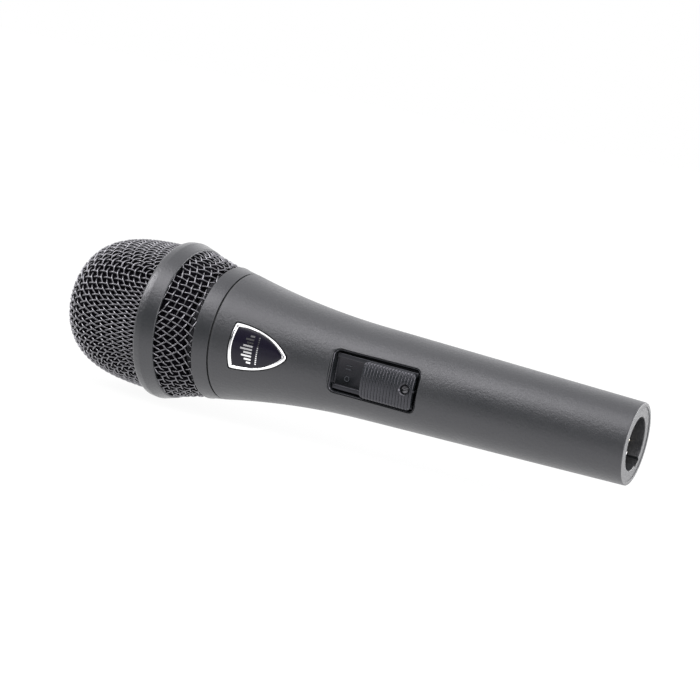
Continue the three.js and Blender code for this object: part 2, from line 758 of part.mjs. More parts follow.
place('handle_shell', handleShell(), bodyPaint);
place('threaded_neck', threadedNeck(), steel);
place('badge_rim', badgeRim(), chrome);
place('badge_plate', badgePlate(), gloss);

place('switch_bezel', switchBezel(), blackPlastic);
place('switch_slider', switchSlider(), blackPlastic);
place('slider_screw', sliderScrew(), steel);
place('switch_actuator', switchActuator(), blackPlastic);
place('slide_switch_body', slideSwitchBody(), steel);
place('switch_board', switchBoard(), board);
place('switch_screw_head', switchScrew(POST_STATIONS[0]), steel);
place('switch_screw_tail', switchScrew(POST_STATIONS[1]), steel);

place('rear_chamber_cup', rearChamberCup(), blackPlastic);
place('shock_mount', shockMount(), rubber);
place('capsule_housing', capsuleHousing(), steel);
place('capsule_frame', tube(FRAME_REAR, FRAME_FRONT, YOKE_RADIUS + GAP, FRAME_RADIUS, MEDIUM), blackPlastic);
place('magnet_yoke', cup(FRAME_REAR, YOKE_FRONT, YOKE_RADIUS, YOKE_WALL, YOKE_FLOOR), steel);
place('magnet', disc(FRAME_REAR + YOKE_FLOOR + GAP, MAGNET_FRONT, MAGNET_RADIUS, MEDIUM), steel);
place('pole_piece', disc(MAGNET_FRONT + GAP, YOKE_FRONT, POLE_RADIUS, MEDIUM), steel);
place('voice_coil', voiceCoil(), copper);
place('diaphragm', diaphragm(), film);
place('cap_felt', disc(FELT_REAR, CAPSULE_FRONT, FELT_RADIUS, MEDIUM), foam);
place('resonator_cap', resonatorCap(), steel);
place('terminal_board', disc(TERMINAL_BOARD_REAR, CUP_REAR - GAP, TERMINAL_BOARD_RADIUS, MEDIUM), board);
place('terminal_hot', terminal(TERMINAL_OFFSET), brass);
place('terminal_cold', terminal(-TERMINAL_OFFSET), brass);

place('wire_capsule_hot', capsuleWire(TERMINAL_OFFSET), copper);
place('wire_capsule_cold', capsuleWire(-TERMINAL_OFFSET), copper);
place('wire_pin_ground', pinWire(3, PIN_ANGLES[0]), copper);
place('wire_pin_hot', pinWire(-3, PIN_ANGLES[1]), copper);
place('wire_pin_cold', pinWire(0, PIN_ANGLES[2]), copper);

place('connector_insert', connectorInsert(), insulator);
place('connector_pin_1', connectorPin(PIN_ANGLES[0]), brass);
place('connector_pin_2', connectorPin(PIN_ANGLES[1]), brass);
place('connector_pin_3', connectorPin(PIN_ANGLES[2]), brass);
place('insert_lock_screw', lockScrew(), steel);

place('collar_gasket', tube(HANDLE_END + GAP, COLLAR_REAR - GAP, NECK_RADIUS + GAP, GASKET_RADIUS), rubber);
place('grille_collar', grilleCollar(), bodyPaint);
place('skirt_mesh', skirtMesh(), meshPaint);
place('equator_band', equatorBand(), bodyPaint);
place('dome_mesh', domeMesh(), meshPaint);
place('foam_liner', foamLiner(), foam);

export default microphone;
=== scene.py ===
"""Looks for a handheld dynamic microphone, built round its CAD frame.

Sizes in this file are millimetres unless a name says otherwise, and become metres in at().
A station is a distance from the tail's end face towards the head. Lateral is Z, and height is along -Y.
An offset is a distance out from the handle's tapered surface.
"""

import itertools
import math

import bmesh
import bpy
import numpy as np
from mathutils import Matrix, Vector, noise


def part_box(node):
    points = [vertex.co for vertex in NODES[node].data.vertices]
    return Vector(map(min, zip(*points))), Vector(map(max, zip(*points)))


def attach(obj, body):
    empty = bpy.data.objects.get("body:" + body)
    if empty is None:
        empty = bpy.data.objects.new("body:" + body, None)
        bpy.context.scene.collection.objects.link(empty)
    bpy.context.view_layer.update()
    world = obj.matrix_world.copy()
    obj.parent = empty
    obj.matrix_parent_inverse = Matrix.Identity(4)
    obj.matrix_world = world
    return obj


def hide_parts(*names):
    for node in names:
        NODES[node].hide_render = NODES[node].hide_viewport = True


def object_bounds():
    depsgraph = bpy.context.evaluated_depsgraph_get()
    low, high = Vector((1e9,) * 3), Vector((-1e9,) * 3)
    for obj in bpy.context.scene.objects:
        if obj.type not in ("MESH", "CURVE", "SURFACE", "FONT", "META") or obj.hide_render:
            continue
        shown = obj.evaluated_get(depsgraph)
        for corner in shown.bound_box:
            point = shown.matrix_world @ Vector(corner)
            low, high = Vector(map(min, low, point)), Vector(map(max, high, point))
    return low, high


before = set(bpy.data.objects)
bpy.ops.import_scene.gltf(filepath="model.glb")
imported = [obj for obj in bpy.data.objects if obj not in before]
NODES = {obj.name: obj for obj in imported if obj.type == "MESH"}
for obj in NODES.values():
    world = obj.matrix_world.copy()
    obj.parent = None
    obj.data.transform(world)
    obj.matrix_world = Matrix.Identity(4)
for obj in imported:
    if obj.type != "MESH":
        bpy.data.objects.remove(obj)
cad_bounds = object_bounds()
MM = 0.001
TAIL_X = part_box("handle_shell")[1].x


def node_stations(node):
    """The stations of a CAD node's tail side and head side."""
    low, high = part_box(node)
    return (TAIL_X - high.x) / MM, (TAIL_X - low.x) / MM


def node_width(node):
    low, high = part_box(node)
    return (high.z - low.z) / MM


def node_reach(node):
    """How far a CAD node reaches from the long axis."""
    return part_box(node)[1].z / MM


# handle
HANDLE_END = node_stations("handle_shell")[1]
TAIL_RADIUS = 12.35
TAIL_STEP = 0.22
TAIL_LIP = 1.2
TAIL_ROUNDING = 0.3
HANDLE_TAPER = 0.0267
FLARE_START = 84
FLARE_RATE = 0.001993
HANDLE_WALL = 2
BORE_END = 112
NECK_SEAT_START = 119.5
NECK_SEAT_RADIUS = 16.7
PARTING_GAP = 0.35

# socket in the tail. The key, its bare tip and the latch notch are ridges: two stations, a half width and
# two heights, turned about the axis from the switch side by degrees.
SOCKET_RADIUS = 8
SOCKET_DEPTH = 25
KEY = (0.9, 18, 0.8, SOCKET_RADIUS - 0.8, SOCKET_RADIUS + 1)
KEY_TIP = (0.4, 1.6, 0.42, SOCKET_RADIUS - 1.15, SOCKET_RADIUS + 0.2)
LATCH = (-1, 6, 1.6, SOCKET_RADIUS - 1, SOCKET_RADIUS + 0.9)
KEY_TURN = 15.4
LATCH_TURN = 132.7

# badge
BADGE_TIP, BADGE_HEAD = node_stations("badge_rim")
BADGE_HALF_WIDTH = 7.0
BADGE_GAP = 0.38
RIM_HEIGHT = 0.43
METER_LEVELS = (1.4, 2.2, 3.2, 2.6, 3.8, 3.0, 2.0, 2.6, 1.4)
METER_PITCH = 1.02
METER_BASE = BADGE_HEAD - 7.2
METER_HALF_WIDTH = 0.27
DASH_COUNT = 14
DASH_PITCH = 0.62
DASH_HALF_WIDTH = 0.2
DASH_STATIONS = (METER_BASE - 1.75, METER_BASE - 1.35)
STRIP_STEPS = 6

# switch
BEZEL_TAIL, BEZEL_HEAD = node_stations("switch_bezel")
SLIDER_TAIL, SLIDER_HEAD = node_stations("switch_slider")
SCREW_STATION = sum(node_stations("slider_screw")) / 2
WINDOW_CENTRE = (BEZEL_TAIL + BEZEL_HEAD) / 2
WINDOW_LENGTH = BEZEL_HEAD - BEZEL_TAIL + 0.8
WINDOW_WIDTH = node_width("switch_bezel") + 0.6
WINDOW_CORNER = 2.1
WINDOW_BOTTOM = 8
WINDOW_CHAMFER = 0.26
BEZEL_CLEARANCE = 0.16
BEZEL_BOTTOM = 9.6
BEZEL_FLOOR = 11.2
LIP_CORNER = 1.95
TRAY_SLOT = (69.5, 82.1)
RAIL_TOP = 12.6
NUB_TOP = 14.3
MARK_HEIGHT = 0.3
RIB_COUNT = 17
RIB_DEPTH = 0.27
RIB_COLUMNS = 10
SLIDER_REACH = 0.35
SLIDER_WIDENING = 0.2
SLIDER_LIFT = 0.38
SLIDER_SHIFT = 0.35
SLIDER_CORNER = 1.5
SLIDER_EDGE = 0.62
SLIDER_ROWS = 28
SCREW_HOLE = [(0, 0), (1.05, 0), (1.05, 1.9), (1.52, 1.9), (1.52, 2.85), (1.9, 3.2), (1.9, 6), (0, 6)]
SCREW_HEAD = [(0, 1.2), (0.75, 1.2), (0.75, 2.05), (1.2, 2), (1.3, 2.1), (1.26, 2.3), (1.05, 2.5), (0, 2.6)]
SCREW_SLOT_TURN = -25

# grille
COLLAR_REAR, SLEEVE_FRONT = node_stations("grille_collar")
COLLAR_FRONT = 136.75
COLLAR_BORE = 18.4
BAND_REAR, BAND_FRONT = node_stations("equator_band")
BAND_CREST = 152.9
BAND_CREST_RADIUS = 25.5
BAND_REAR_RADIUS = 24.42
SKIRT_REAR, SKIRT_FRONT = node_stations("skirt_mesh")
SKIRT_NARROWING = 2.95
SKIRT_BEND = 4.0
DOME_TIP = node_stations("dome_mesh")[1]
DOME_CENTRE = 149.4
DOME_RADIUS = 23.9
DOME_POWER = 3.33
FOAM_GAP = 1.5
FOAM_REAR_RADIUS = 20.4
FOAM_RADIUS = 22.5
FOAM_BORE = 18.7
FOAM_INNER_RADIUS = 19.2

# wire cloth: its lay is in degrees, and its lock is how far a cell's diagonals can close
DOME_WIRE = 0.28
SKIRT_WIRE = 0.26
DOME_PITCH = 2.3
SKIRT_PITCH = 2.25
DOME_LAY, DOME_LOCK = 39, 0.68
SKIRT_LAY, SKIRT_LOCK = 33, 1.1
SKIRT_BLANK = 32
SKIRT_FLOOR = (14, 1.25)
CRIMP_STIFFNESS = 0.8
BEND_STIFFNESS = 0.2
MOMENTUM = 0.7
ARC_STEP = 0.05
AXIS_HINT = np.array([1.0, 0.05, 0.02])
SECOND_HINT = np.array([0.1, 0.9, 0.3])

# capsule cap
CAP_HOLE = 1.9
CAP_HOLE_CIRCLE = 10.5

# neck and its thread
NECK_RADIUS = 17.3
THREAD_CREST = 17.95
THREAD_LEAD = 1.25
THREAD_SECTIONS = 72

# studio, in metres and degrees
CAMERA_PLACE = (0.14697, -0.5140, 0.08825)
CAMERA_AZIMUTH = 23.67
CAMERA_ELEVATION = 8.44
CAMERA_ROLL = 11.3
CAMERA_LENS = 95.14
FLOOR_SIZE = 6.0
FLOOR_DROP = 0.0004
FLOOR_BOUNCE = (0.15, 1.65)
FLOOR_BOUNCE_DEPTHS = (-0.13, -0.04)
FLOOR_GLOW = 0.8
FLOOR_GLOW_SEEN = 0.94
# radiance of the room by the angle from the front horizon, over the top, to the back horizon
ROOM = ((0, 0.05), (15, 0.17), (35, 1.2), (60, 1.7), (100, 1.5), (130, 1.7), (150, 1.9), (180, 1.1))
ROOM_SCALE = 4

PLASTIC_GRAIN = 0.18
ROUND = 192
FINE_ROUND = 256
SHARP = 35


# ---------- geometry helpers ----------
def at(station, height, lateral):
    """A point in the part's frame, in metres."""
    return Vector((TAIL_X - station * MM, -height * MM, lateral * MM))


def handle_radius(station):
    flare = max(0.0, station - FLARE_START)
    return TAIL_RADIUS + HANDLE_TAPER * station + FLARE_RATE * flare * flare


def on_handle(station, lateral, offset):
    """A point at an offset from the handle's surface, on the side that carries the switch and the badge."""
    radius = handle_radius(station) + offset
    return at(station, math.sqrt(radius * radius - lateral * lateral), lateral)


def spread(start, end, count):
    return [start + (end - start) * i / count for i in range(count + 1)]


def circle(count):
    return [2 * math.pi * i / count for i in range(count)]


def bend(start, middle, end, count):
    """A curve between two points that leaves and arrives along the lines to a middle point."""
    return [start * (1 - t) ** 2 + middle * 2 * t * (1 - t) + end * t * t for t in spread(0, 1, count)]


def add_object(name, data):
    obj = bpy.data.objects.new(name, data)
    bpy.context.scene.collection.objects.link(obj)
    return obj


def smooth(mesh, sharp_angle=SHARP):
    mesh.shade_smooth()
    mesh.set_sharp_from_angle(angle=math.radians(sharp_angle))


def make_object(name, verts, faces, material, sharp_angle=SHARP, welded=True):
    """An object from points and faces. Welding merges doubled points and turns the faces to point out."""
    mesh = bpy.data.meshes.new(name)
    mesh.from_pydata([tuple(v) for v in verts], [], faces)
    mesh.update()
    if welded:
        bm = bmesh.new()
        bm.from_mesh(mesh)
        bmesh.ops.remove_doubles(bm, verts=bm.verts, dist=1e-7)
        bmesh.ops.dissolve_degenerate(bm, edges=bm.edges, dist=1e-8)
        bmesh.ops.recalc_face_normals(bm, faces=bm.faces)
        bm.to_mesh(mesh)
        bm.free()
    smooth(mesh, sharp_angle)
    mesh.materials.append(material)
    return add_object(name, mesh)


def shifted(station, points):
    return [(station + s, radius) for s, radius in points]


def rounded(outline, radius, steps=4):
    """A closed outline of [a, b] points with each corner off the axis rounded, up to a radius."""
    result = []
    count = len(outline)
    for i in range(count):
        here = Vector(outline[i])
        before = Vector(outline[i - 1]) - here
        after = Vector(outline[(i + 1) % count]) - here
        turn = math.pi - before.angle(after, math.pi)
        if here.y < 1e-6 or turn < math.radians(8):
            result.append(tuple(here))
            continue
        reach = min(radius * math.tan(turn / 2), 0.45 * before.length, 0.45 * after.length)
        arc = bend(here + before.normalized() * reach, here, here + after.normalized() * reach, steps)
        result += [tuple(p) for p in arc]
    return result


def lathe(name, outline, material, facets=ROUND, wobble=None):
    """A solid of revolution about the long axis from a closed outline of [station, radius] points."""
    verts = []
    for angle in circle(facets):
        for station, radius in outline:
            if wobble:
                radius += wobble(station, radius, angle)
            verts.append(at(station, radius * math.cos(angle), radius * math.sin(angle)))
    count = len(outline)
    faces = []
    for i in range(facets):
        for j in range(count):
            k = (j + 1) % count
            if outline[j][1] < 1e-6 and outline[k][1] < 1e-6:
                continue
            a, b = i * count, (i + 1) % facets * count
            faces.append((a + j, b + j, b + k, a + k))
    return make_object(name, verts, faces, material)


def skin(rings, verts, faces, capped=True):
    """Adds a skin through closed rings of points, with a flat face on each end if it is capped."""
    base, count = len(verts), len(rings[0])
    verts += [p for ring in rings for p in ring]
    for a in range(base, len(verts) - count, count):
        for i in range(count):
            j = (i + 1) % count
            faces.append((a + i, a + j, a + count + j, a + count + i))
    if capped:
        faces.append((base, *reversed(range(base + 1, base + count))))
        faces.append(tuple(range(len(verts) - count, len(verts))))


def loft(name, rings, material, capped=True, sharp_angle=SHARP):
    verts, faces = [], []
    skin(rings, verts, faces, capped)
    return make_object(name, verts, faces, material, sharp_angle)


def bar(name, stations, corners, rounding, material, height=0.0, lateral=0.0):
    """A bar along the handle between two stations, from its section's [lateral, height] corners."""
    section = rounded(corners, rounding)
    return loft(name, [[at(s, height + h, lateral + z) for z, h in section] for s in stations], material)


def ridge(name, tail, head, half_width, low, high, material):
    corners = [(half_width, low), (half_width, high), (-half_width, high), (-half_width, low)]
    return bar(name, (tail, head), corners, 0.35, material)


def lengthwise_rings(profile, height, lateral, facets=32):
    """Rings round a line along the handle, one for each [station, radius] of the profile."""
    turn = circle(facets)
    return [[at(s, height + r * math.cos(t), lateral + r * math.sin(t)) for t in turn] for s, r in profile]


def lathe_upright(name, station, lateral, profile, material, facets=32):
    """A small turned piece that stands on the tray's floor, from [radius, height] points."""
    rings = [
        [at(station + r * math.cos(t), BEZEL_FLOOR + h, lateral + r * math.sin(t)) for t in circle(facets)]
        for r, h in profile
    ]
    if profile[0][0] > 0:
        rings.append(rings[0])
    return loft(name, rings, material, capped=False)


def directions(path):
    """The unit direction of a numpy polyline at each of its points."""
    slope = np.gradient(path, axis=0)
    return slope / np.linalg.norm(slope, axis=1)[:, None]


def sweep_tube(points, radius, sides, verts, faces):
    """Adds a closed round tube along a numpy polyline."""
    tangent = directions(points)
    side = np.cross(tangent, AXIS_HINT)
    weak = np.linalg.norm(side, axis=1) < 0.15
    side[weak] = np.cross(tangent[weak], SECOND_HINT)
    # each ring's frame is carried on from the one before, so that the tube doesn't twist
    for i in range(1, len(side)):
        side[i] = side[i - 1] - tangent[i] * (side[i - 1] @ tangent[i])
        side[i] /= np.linalg.norm(side[i])
    side[0] /= np.linalg.norm(side[0])
    other = np.cross(tangent, side)
    turn = np.arange(sides) * 2 * math.pi / sides
    ring = side[:, None] * np.cos(turn)[None, :, None] + other[:, None] * np.sin(turn)[None, :, None]
    skin((points[:, None] + radius * ring).tolist(), verts, faces)


def boolean(obj, cutter, operation="DIFFERENCE"):
    """Cuts or joins another object into this one, and removes the other."""
    change = obj.modifiers.new("cut", "BOOLEAN")
    change.operation = operation
    change.solver = "EXACT"
    change.object = cutter
    graph = bpy.context.evaluated_depsgraph_get()
    result = bpy.data.meshes.new_from_object(obj.evaluated_get(graph))
    obj.modifiers.clear()
    obj.data = result
    bpy.data.objects.remove(cutter)
    smooth(result)
    return obj


def rotation(degrees, axis):
    return Matrix.Rotation(math.radians(degrees), 4, axis)


def turned_about_axis(obj, degrees):
    obj.data.transform(rotation(degrees, "X"))
    return obj


# ---------- materials ----------
class Nodes:
    """A short way to build the node tree of a material or a world."""

    def __init__(self, owner):
        owner.use_nodes = True
        self.tree = owner.node_tree

    def feed(self, socket, value):
        """Gives an input a value, or a link from another node's output."""
        if isinstance(value, bpy.types.NodeSocket):
            self.tree.links.new(value, socket)
        else:
            socket.default_value = (*value, 1) if socket.type == "RGBA" else value

    def add(self, kind, inputs=None, **settings):
        node = self.tree.nodes.new(kind)
        for key, value in settings.items():
            setattr(node, key, value)
        for key, value in (inputs or {}).items():
            self.feed(node.inputs[key], value)
        return node

    def calculate(self, operation, first, second):
        return self.add("ShaderNodeMath", {0: first, 1: second}, operation=operation).outputs[0]

    def spread(self, value, low, high, start=0.3, end=0.7):
        """A value mapped from one range on to another."""
        inputs = {"Value": value, "From Min": start, "From Max": end, "To Min": low, "To Max": high}
        return self.add("ShaderNodeMapRange", inputs).outputs["Result"]

    def blend(self, factor, first, second):
        """A mix of two shaders."""
        return self.add("ShaderNodeMixShader", {0: factor, 1: first, 2: second}).outputs[0]


class Material(Nodes):
    def __init__(self, name, **inputs):
        self.material = bpy.data.materials.new(name)
        super().__init__(self.material)
        self.surface = self.tree.nodes["Principled BSDF"]
        self.coordinates = self.add("ShaderNodeTexCoord").outputs["Object"]
        self.set(**inputs)

    def set(self, **inputs):
        for key, value in inputs.items():
            self.feed(self.surface.inputs[key.replace("_", " ")], value)

    def noise(self, scale, detail=2.0, roughness=0.5, stretch=None):
        vector = self.coordinates
        if stretch:
            vector = self.add("ShaderNodeMapping", {"Vector": vector, "Scale": stretch}).outputs["Vector"]
        inputs = {"Vector": vector, "Scale": scale, "Detail": detail, "Roughness": roughness}
        return self.add("ShaderNodeTexNoise", inputs).outputs["Fac"]

    def pattern(self, kind, inputs, **settings):
        return self.add(kind, {"Vector": self.coordinates, **inputs}, **settings).outputs

    def mix(self, factor, first, second):
        inputs = {"Factor": factor, "A": first, "B": second}
        return self.add("ShaderNodeMix", inputs, data_type="RGBA").outputs["Result"]

    def mottle(self, value, first, second, start=0.3, end=0.7):
        """Two colours, from one to the other as a pattern's value rises."""
        return self.mix(self.spread(value, 0, 1, start, end), first, second)

    def emission(self, strength):
        return self.add("ShaderNodeEmission", {"Color": grey(1), "Strength": strength}).outputs[0]

    def finish(self, colour, roughness, *bumps):
        """Sets the colour, the roughness and the bumps, each a pattern and its height in mm."""
        self.set(Base_Color=colour, Roughness=roughness)
        for height, distance in bumps:
            inputs = {"Height": height, "Distance": distance * MM, "Strength": 1.0}
            if self.surface.inputs["Normal"].links:
                inputs["Normal"] = self.surface.inputs["Normal"].links[0].from_socket
            self.set(Normal=self.add("ShaderNodeBump", inputs).outputs["Normal"])
        return self.material


def grey(value, warmth=0.0):
    return (value * (1 + warmth), value, value * (1 - warmth))


def satin_paint(name, shade, roughness, grain_mm, bump_mm):
    """Sprayed satin enamel: fine orange peel, a speckle in colour, uneven sheen, thin edges."""
    m = Material(name, IOR=1.6, Specular_Tint=(0.975, 0.955, 1.0))
    grain = m.noise(1 / (grain_mm * MM), detail=3, roughness=0.6)
    haze = m.noise(45, detail=4, roughness=0.6)
    base = m.mottle(grain, grey(shade * 0.7, -0.12), grey(shade * 1.3, -0.10))
    outside_edge = m.add("ShaderNodeNewGeometry").outputs["Pointiness"]
    colour = m.mottle(outside_edge, base, grey(shade * 2.2, -0.05), 0.53, 0.6)
    sheen = m.spread(haze, roughness - 0.04, roughness + 0.05)
    return m.finish(colour, sheen, (grain, bump_mm), (m.noise(1100, detail=2), bump_mm * 1.5))


def wire_paint():
    """Thin glossy paint on wire, with a fine speckle."""
    m = Material("wire_paint", IOR=2.1, Specular_Tint=(0.945, 0.925, 1.0))
    grain = m.noise(3500, detail=3)
    colour = m.mottle(grain, grey(0.004, -0.1), grey(0.009, -0.1))
    return m.finish(colour, m.spread(grain, 0.09, 0.15), (grain, 0.01))


def moulded_plastic(name, shade, roughness):
    """Black moulded plastic with a spark-eroded grain and faint flow marks."""
    m = Material(name, IOR=1.5, Specular_Tint=(0.93, 0.89, 1.0))
    grain = m.noise(1 / (PLASTIC_GRAIN * MM), detail=2)
    flow = m.noise(90, detail=3, stretch=(1, 4, 4))
    colour = m.mottle(flow, grey(shade * 0.8, -0.14), grey(shade * 1.2, -0.12))
    return m.finish(colour, m.spread(grain, roughness - 0.07, roughness + 0.08), (grain, 0.012))


def plated(name, colour, roughness, brush=(1, 1, 1), scratch=0.004):
    """Plated or turned metal with fine lay lines and small changes in sheen."""
    m = Material(name, Metallic=1.0)
    lay = m.noise(900, detail=4, roughness=0.7, stretch=brush)
    cloudy = m.mottle(m.noise(120, detail=3), tuple(c * 0.82 for c in colour), colour)
    return m.finish(cloudy, m.spread(lay, roughness * 0.7, roughness * 1.5), (lay, scratch))


def gloss_inlay():
    """Glossy near-black enamel with dust-sized specks."""
    m = Material("gloss_inlay", IOR=1.4, Specular_IOR_Level=0.35)
    colour = m.mottle(m.noise(5200, detail=1), (0.007, 0.006, 0.012), (0.02, 0.02, 0.026), 0.72, 0.8)
    return m.finish(colour, m.spread(m.noise(150), 0.12, 0.22), (m.noise(420, detail=1), 0.004))


def soft_rubber(name, shade):
    """Matt moulded rubber, with a fine bloom."""
    m = Material(name, IOR=1.45)
    grain = m.noise(4200, detail=3)
    colour = m.mottle(grain, grey(shade * 0.7), grey(shade * 1.4))
    return m.finish(colour, m.spread(m.noise(300, detail=3), 0.7, 0.92), (grain, 0.02))


def open_foam():
    """Reticulated foam: each cell is painted darker towards its middle, as painted shade in the open cells,
    between slightly lighter struts.
    """
    m = Material("open_foam", Specular_IOR_Level=0.05)
    strut = m.pattern("ShaderNodeTexVoronoi", {"Scale": 1500}, feature="DISTANCE_TO_EDGE")["Distance"]
    # painted shade: the colour darkens from the struts towards each cell's middle
    colour = m.mottle(strut, (0.007, 0.006, 0.009), (0.0015, 0.001, 0.002), 0.03, 0.16)
    return m.finish(colour, 1.0, (strut, 0.25))


def pressed_felt():
    """Grey felt, with its fibres drawn out sideways."""
    m = Material("pressed_felt")
    fibre = m.noise(3000, detail=6, roughness=0.8, stretch=(1, 3, 0.7))
    return m.finish(m.mottle(fibre, (0.19, 0.18, 0.16), (0.42, 0.40, 0.36)), 0.95, (fibre, 0.15))


def circuit_board():
    """Green solder mask over a grid of tracks."""
    m = Material("circuit_board")
    colours = {"Color1": (0.015, 0.10, 0.04), "Color2": (0.02, 0.13, 0.05), "Mortar": (0.05, 0.22, 0.09)}
    tracks = m.pattern("ShaderNodeTexBrick", {"Scale": 300, **colours})
    return m.finish(tracks["Color"], m.spread(m.noise(500), 0.25, 0.4), (tracks["Fac"], 0.03))


def wound_copper():
    """Turns of enamelled wire, with painted shade in the grooves between the turns."""
    m = Material("wound_copper", Metallic=1.0)
    turns = m.pattern("ShaderNodeTexWave", {"Scale": 1600}, wave_type="BANDS", bands_direction="X")["Fac"]
    # painted shade: the colour darkens from each turn's copper towards the grooves between turns
    return m.finish(m.mix(turns, (0.30, 0.10, 0.04), (0.82, 0.38, 0.2)), 0.35, (turns, 0.05))


def thin_film():
    """Amber film that lets a little light through."""
    m = Material("thin_film", Transmission_Weight=0.25)
    cloud = m.noise(600, detail=2)
    return m.finish(m.mottle(cloud, (0.62, 0.55, 0.36), (0.76, 0.70, 0.5)), 0.22, (cloud, 0.01))


PAINT = satin_paint("body_paint", 0.013, 0.42, 0.3, 0.055)
BAND_PAINT = satin_paint("band_paint", 0.014, 0.33, 0.24, 0.04)
WIRE = wire_paint()
SWITCH_PLASTIC = moulded_plastic("switch_plastic", 0.010, 0.34)
BEZEL_PLASTIC = moulded_plastic("bezel_plastic", 0.008, 0.16)
# painted highlight: the marks' plastic is a lighter copy of the tray's, for the highlights on the raised
# marks
MARK_HIGHLIGHT_PLASTIC = moulded_plastic("mark_painted_highlight_plastic", 0.03, 0.32)
SLIDER_PLASTIC = moulded_plastic("slider_plastic", 0.013, 0.26)
INSULATOR = moulded_plastic("insulator_plastic", 0.012, 0.5)
INNER_BLACK = moulded_plastic("inner_black_paint", 0.006, 0.75)
WIRE_SLEEVE = moulded_plastic("wire_sleeve", 0.05, 0.4)
CHROME = plated("bright_chrome", (0.92, 0.92, 0.93), 0.08, scratch=0.0006)
STEEL = plated("turned_steel", (0.32, 0.325, 0.34), 0.34, brush=(6, 1, 1))
DARK_STEEL = plated("dark_screw_steel", (0.16, 0.16, 0.17), 0.3)
NICKEL = plated("nickel_plate", (0.42, 0.41, 0.39), 0.26)
BRIGHT_NICKEL = plated("bright_nickel", (0.8, 0.8, 0.8), 0.16)
CAN_METAL = plated("blackened_can", (0.13, 0.13, 0.14), 0.36, brush=(1, 5, 5))
BRASS = plated("pin_brass", (0.72, 0.66, 0.54), 0.22)
INLAY = gloss_inlay()
RUBBER = soft_rubber("seal_rubber", 0.02)
FOAM = open_foam()
FELT = pressed_felt()
BOARD = circuit_board()
COPPER = wound_copper()
FILM = thin_film()

CAD_FINISH = (
    (SWITCH_PLASTIC, ("switch_actuator", "rear_chamber_cup", "capsule_frame")),
    (CAN_METAL, ("slide_switch_body",)),
    (BOARD, ("switch_board", "terminal_board")),
    (STEEL, ("switch_screw_head", "switch_screw_tail", "magnet_yoke", "pole_piece", "insert_lock_screw")),
    (NICKEL, ("magnet",)),
    (COPPER, ("voice_coil",)),
    (FILM, ("diaphragm",)),
    (FELT, ("cap_felt",)),
    (BRASS, ("terminal_hot", "terminal_cold")),
    (WIRE_SLEEVE, ("wire_capsule_hot", "wire_capsule_cold")),
    (WIRE_SLEEVE, ("wire_pin_ground", "wire_pin_hot", "wire_pin_cold")),
    (INSULATOR, ("connector_insert",)),
    (RUBBER, ("collar_gasket",)),
)


def finish_cad_nodes():
    """Gives the CAD solids that are shown as they are their materials."""
    for material, names in CAD_FINISH:
        for name in names:
            mesh = NODES[name].data
            mesh.materials.clear()
            mesh.materials.append(material)
            smooth(mesh)


# ---------- handle ----------
def build_handle():
    lip = TAIL_RADIUS - TAIL_LIP
    corner = TAIL_RADIUS - TAIL_ROUNDING
    front = HANDLE_END + PARTING_GAP - 0.05
    turn = spread(math.pi / 2, 0, 6)
    taper, flare = spread(1.6, FLARE_START, 24), spread(FLARE_START + 2, HANDLE_END + 0.15, 36)
    outline = [
        (TAIL_STEP + 0.5, SOCKET_RADIUS), (TAIL_STEP + 0.12, SOCKET_RADIUS + 0.05),
        (TAIL_STEP, SOCKET_RADIUS + 0.2), (TAIL_STEP, SOCKET_RADIUS + 0.4), (TAIL_STEP, lip - 0.3),
        (TAIL_STEP, lip - 0.05), (TAIL_STEP - 0.05, lip), (0.06, lip + 0.02), (0, lip + 0.1),
        (0, corner - 0.1),
        *[(TAIL_ROUNDING * (1 - math.sin(t)), corner + TAIL_ROUNDING * math.cos(t)) for t in turn],
        *[(s, handle_radius(s)) for s in taper + flare],
        (front - 0.04, handle_radius(front) - 0.12), (front - 0.04, handle_radius(front) - 0.5),
        (front - 0.1, NECK_SEAT_RADIUS), (NECK_SEAT_START, NECK_SEAT_RADIUS),
        *[(s, handle_radius(s) - HANDLE_WALL) for s in spread(BORE_END, SOCKET_DEPTH, 16)],
        (SOCKET_DEPTH, SOCKET_RADIUS),
    ]
    handle = lathe("handle", outline, PAINT, facets=FINE_ROUND)
    boolean(handle, window_cutter())
    boolean(handle, badge_cutter())
    boolean(handle, turned_about_axis(ridge("key", *KEY, PAINT), KEY_TURN), "UNION")
    return boolean(handle, turned_about_axis(ridge("latch", *LATCH, PAINT), LATCH_TURN))


def rounded_rectangle(length, width, corner, steps=8):
    """Points round a rectangle with rounded corners, as [station, lateral] offsets from its centre."""
    points = []
    for quarter, (a, b) in enumerate(((1, 1), (-1, 1), (-1, -1), (1, -1))):
        for t in spread(0, 1, steps):
            angle = (quarter + t) * math.pi / 2
            along = a * (length / 2 - corner) + corner * math.cos(angle)
            points.append((along, b * (width / 2 - corner) + corner * math.sin(angle)))
    return points


def window_cutter():
    """The switch window, with a small chamfer where it breaks through the handle's surface."""

    def ring(grow, offset):
        outline = rounded_rectangle(WINDOW_LENGTH + 2 * grow, WINDOW_WIDTH + 2 * grow, WINDOW_CORNER + grow)
        return [on_handle(WINDOW_CENTRE + s, z, offset) for s, z in outline]

    floor = rounded_rectangle(WINDOW_LENGTH, WINDOW_WIDTH, WINDOW_CORNER)
    chamfer = WINDOW_CHAMFER
    rings = [ring(0, -chamfer), ring(0.3 * chamfer, -0.35 * chamfer), ring(chamfer, 0.02), ring(chamfer, 3)]
    bottom = [at(WINDOW_CENTRE + s, WINDOW_BOTTOM, z) for s, z in floor]
    return loft("window_cutter", [bottom, *rings], PAINT)


def badge_cutter():
    return loft("badge_cutter", shield_rings([(-BADGE_GAP, -0.7), (0.02 - BADGE_GAP, 3)]), PAINT)


def build_key_tip():
    """The bare metal end of the socket's key."""
    return turned_about_axis(ridge("socket_key_tip", *KEY_TIP, BRIGHT_NICKEL), KEY_TURN)


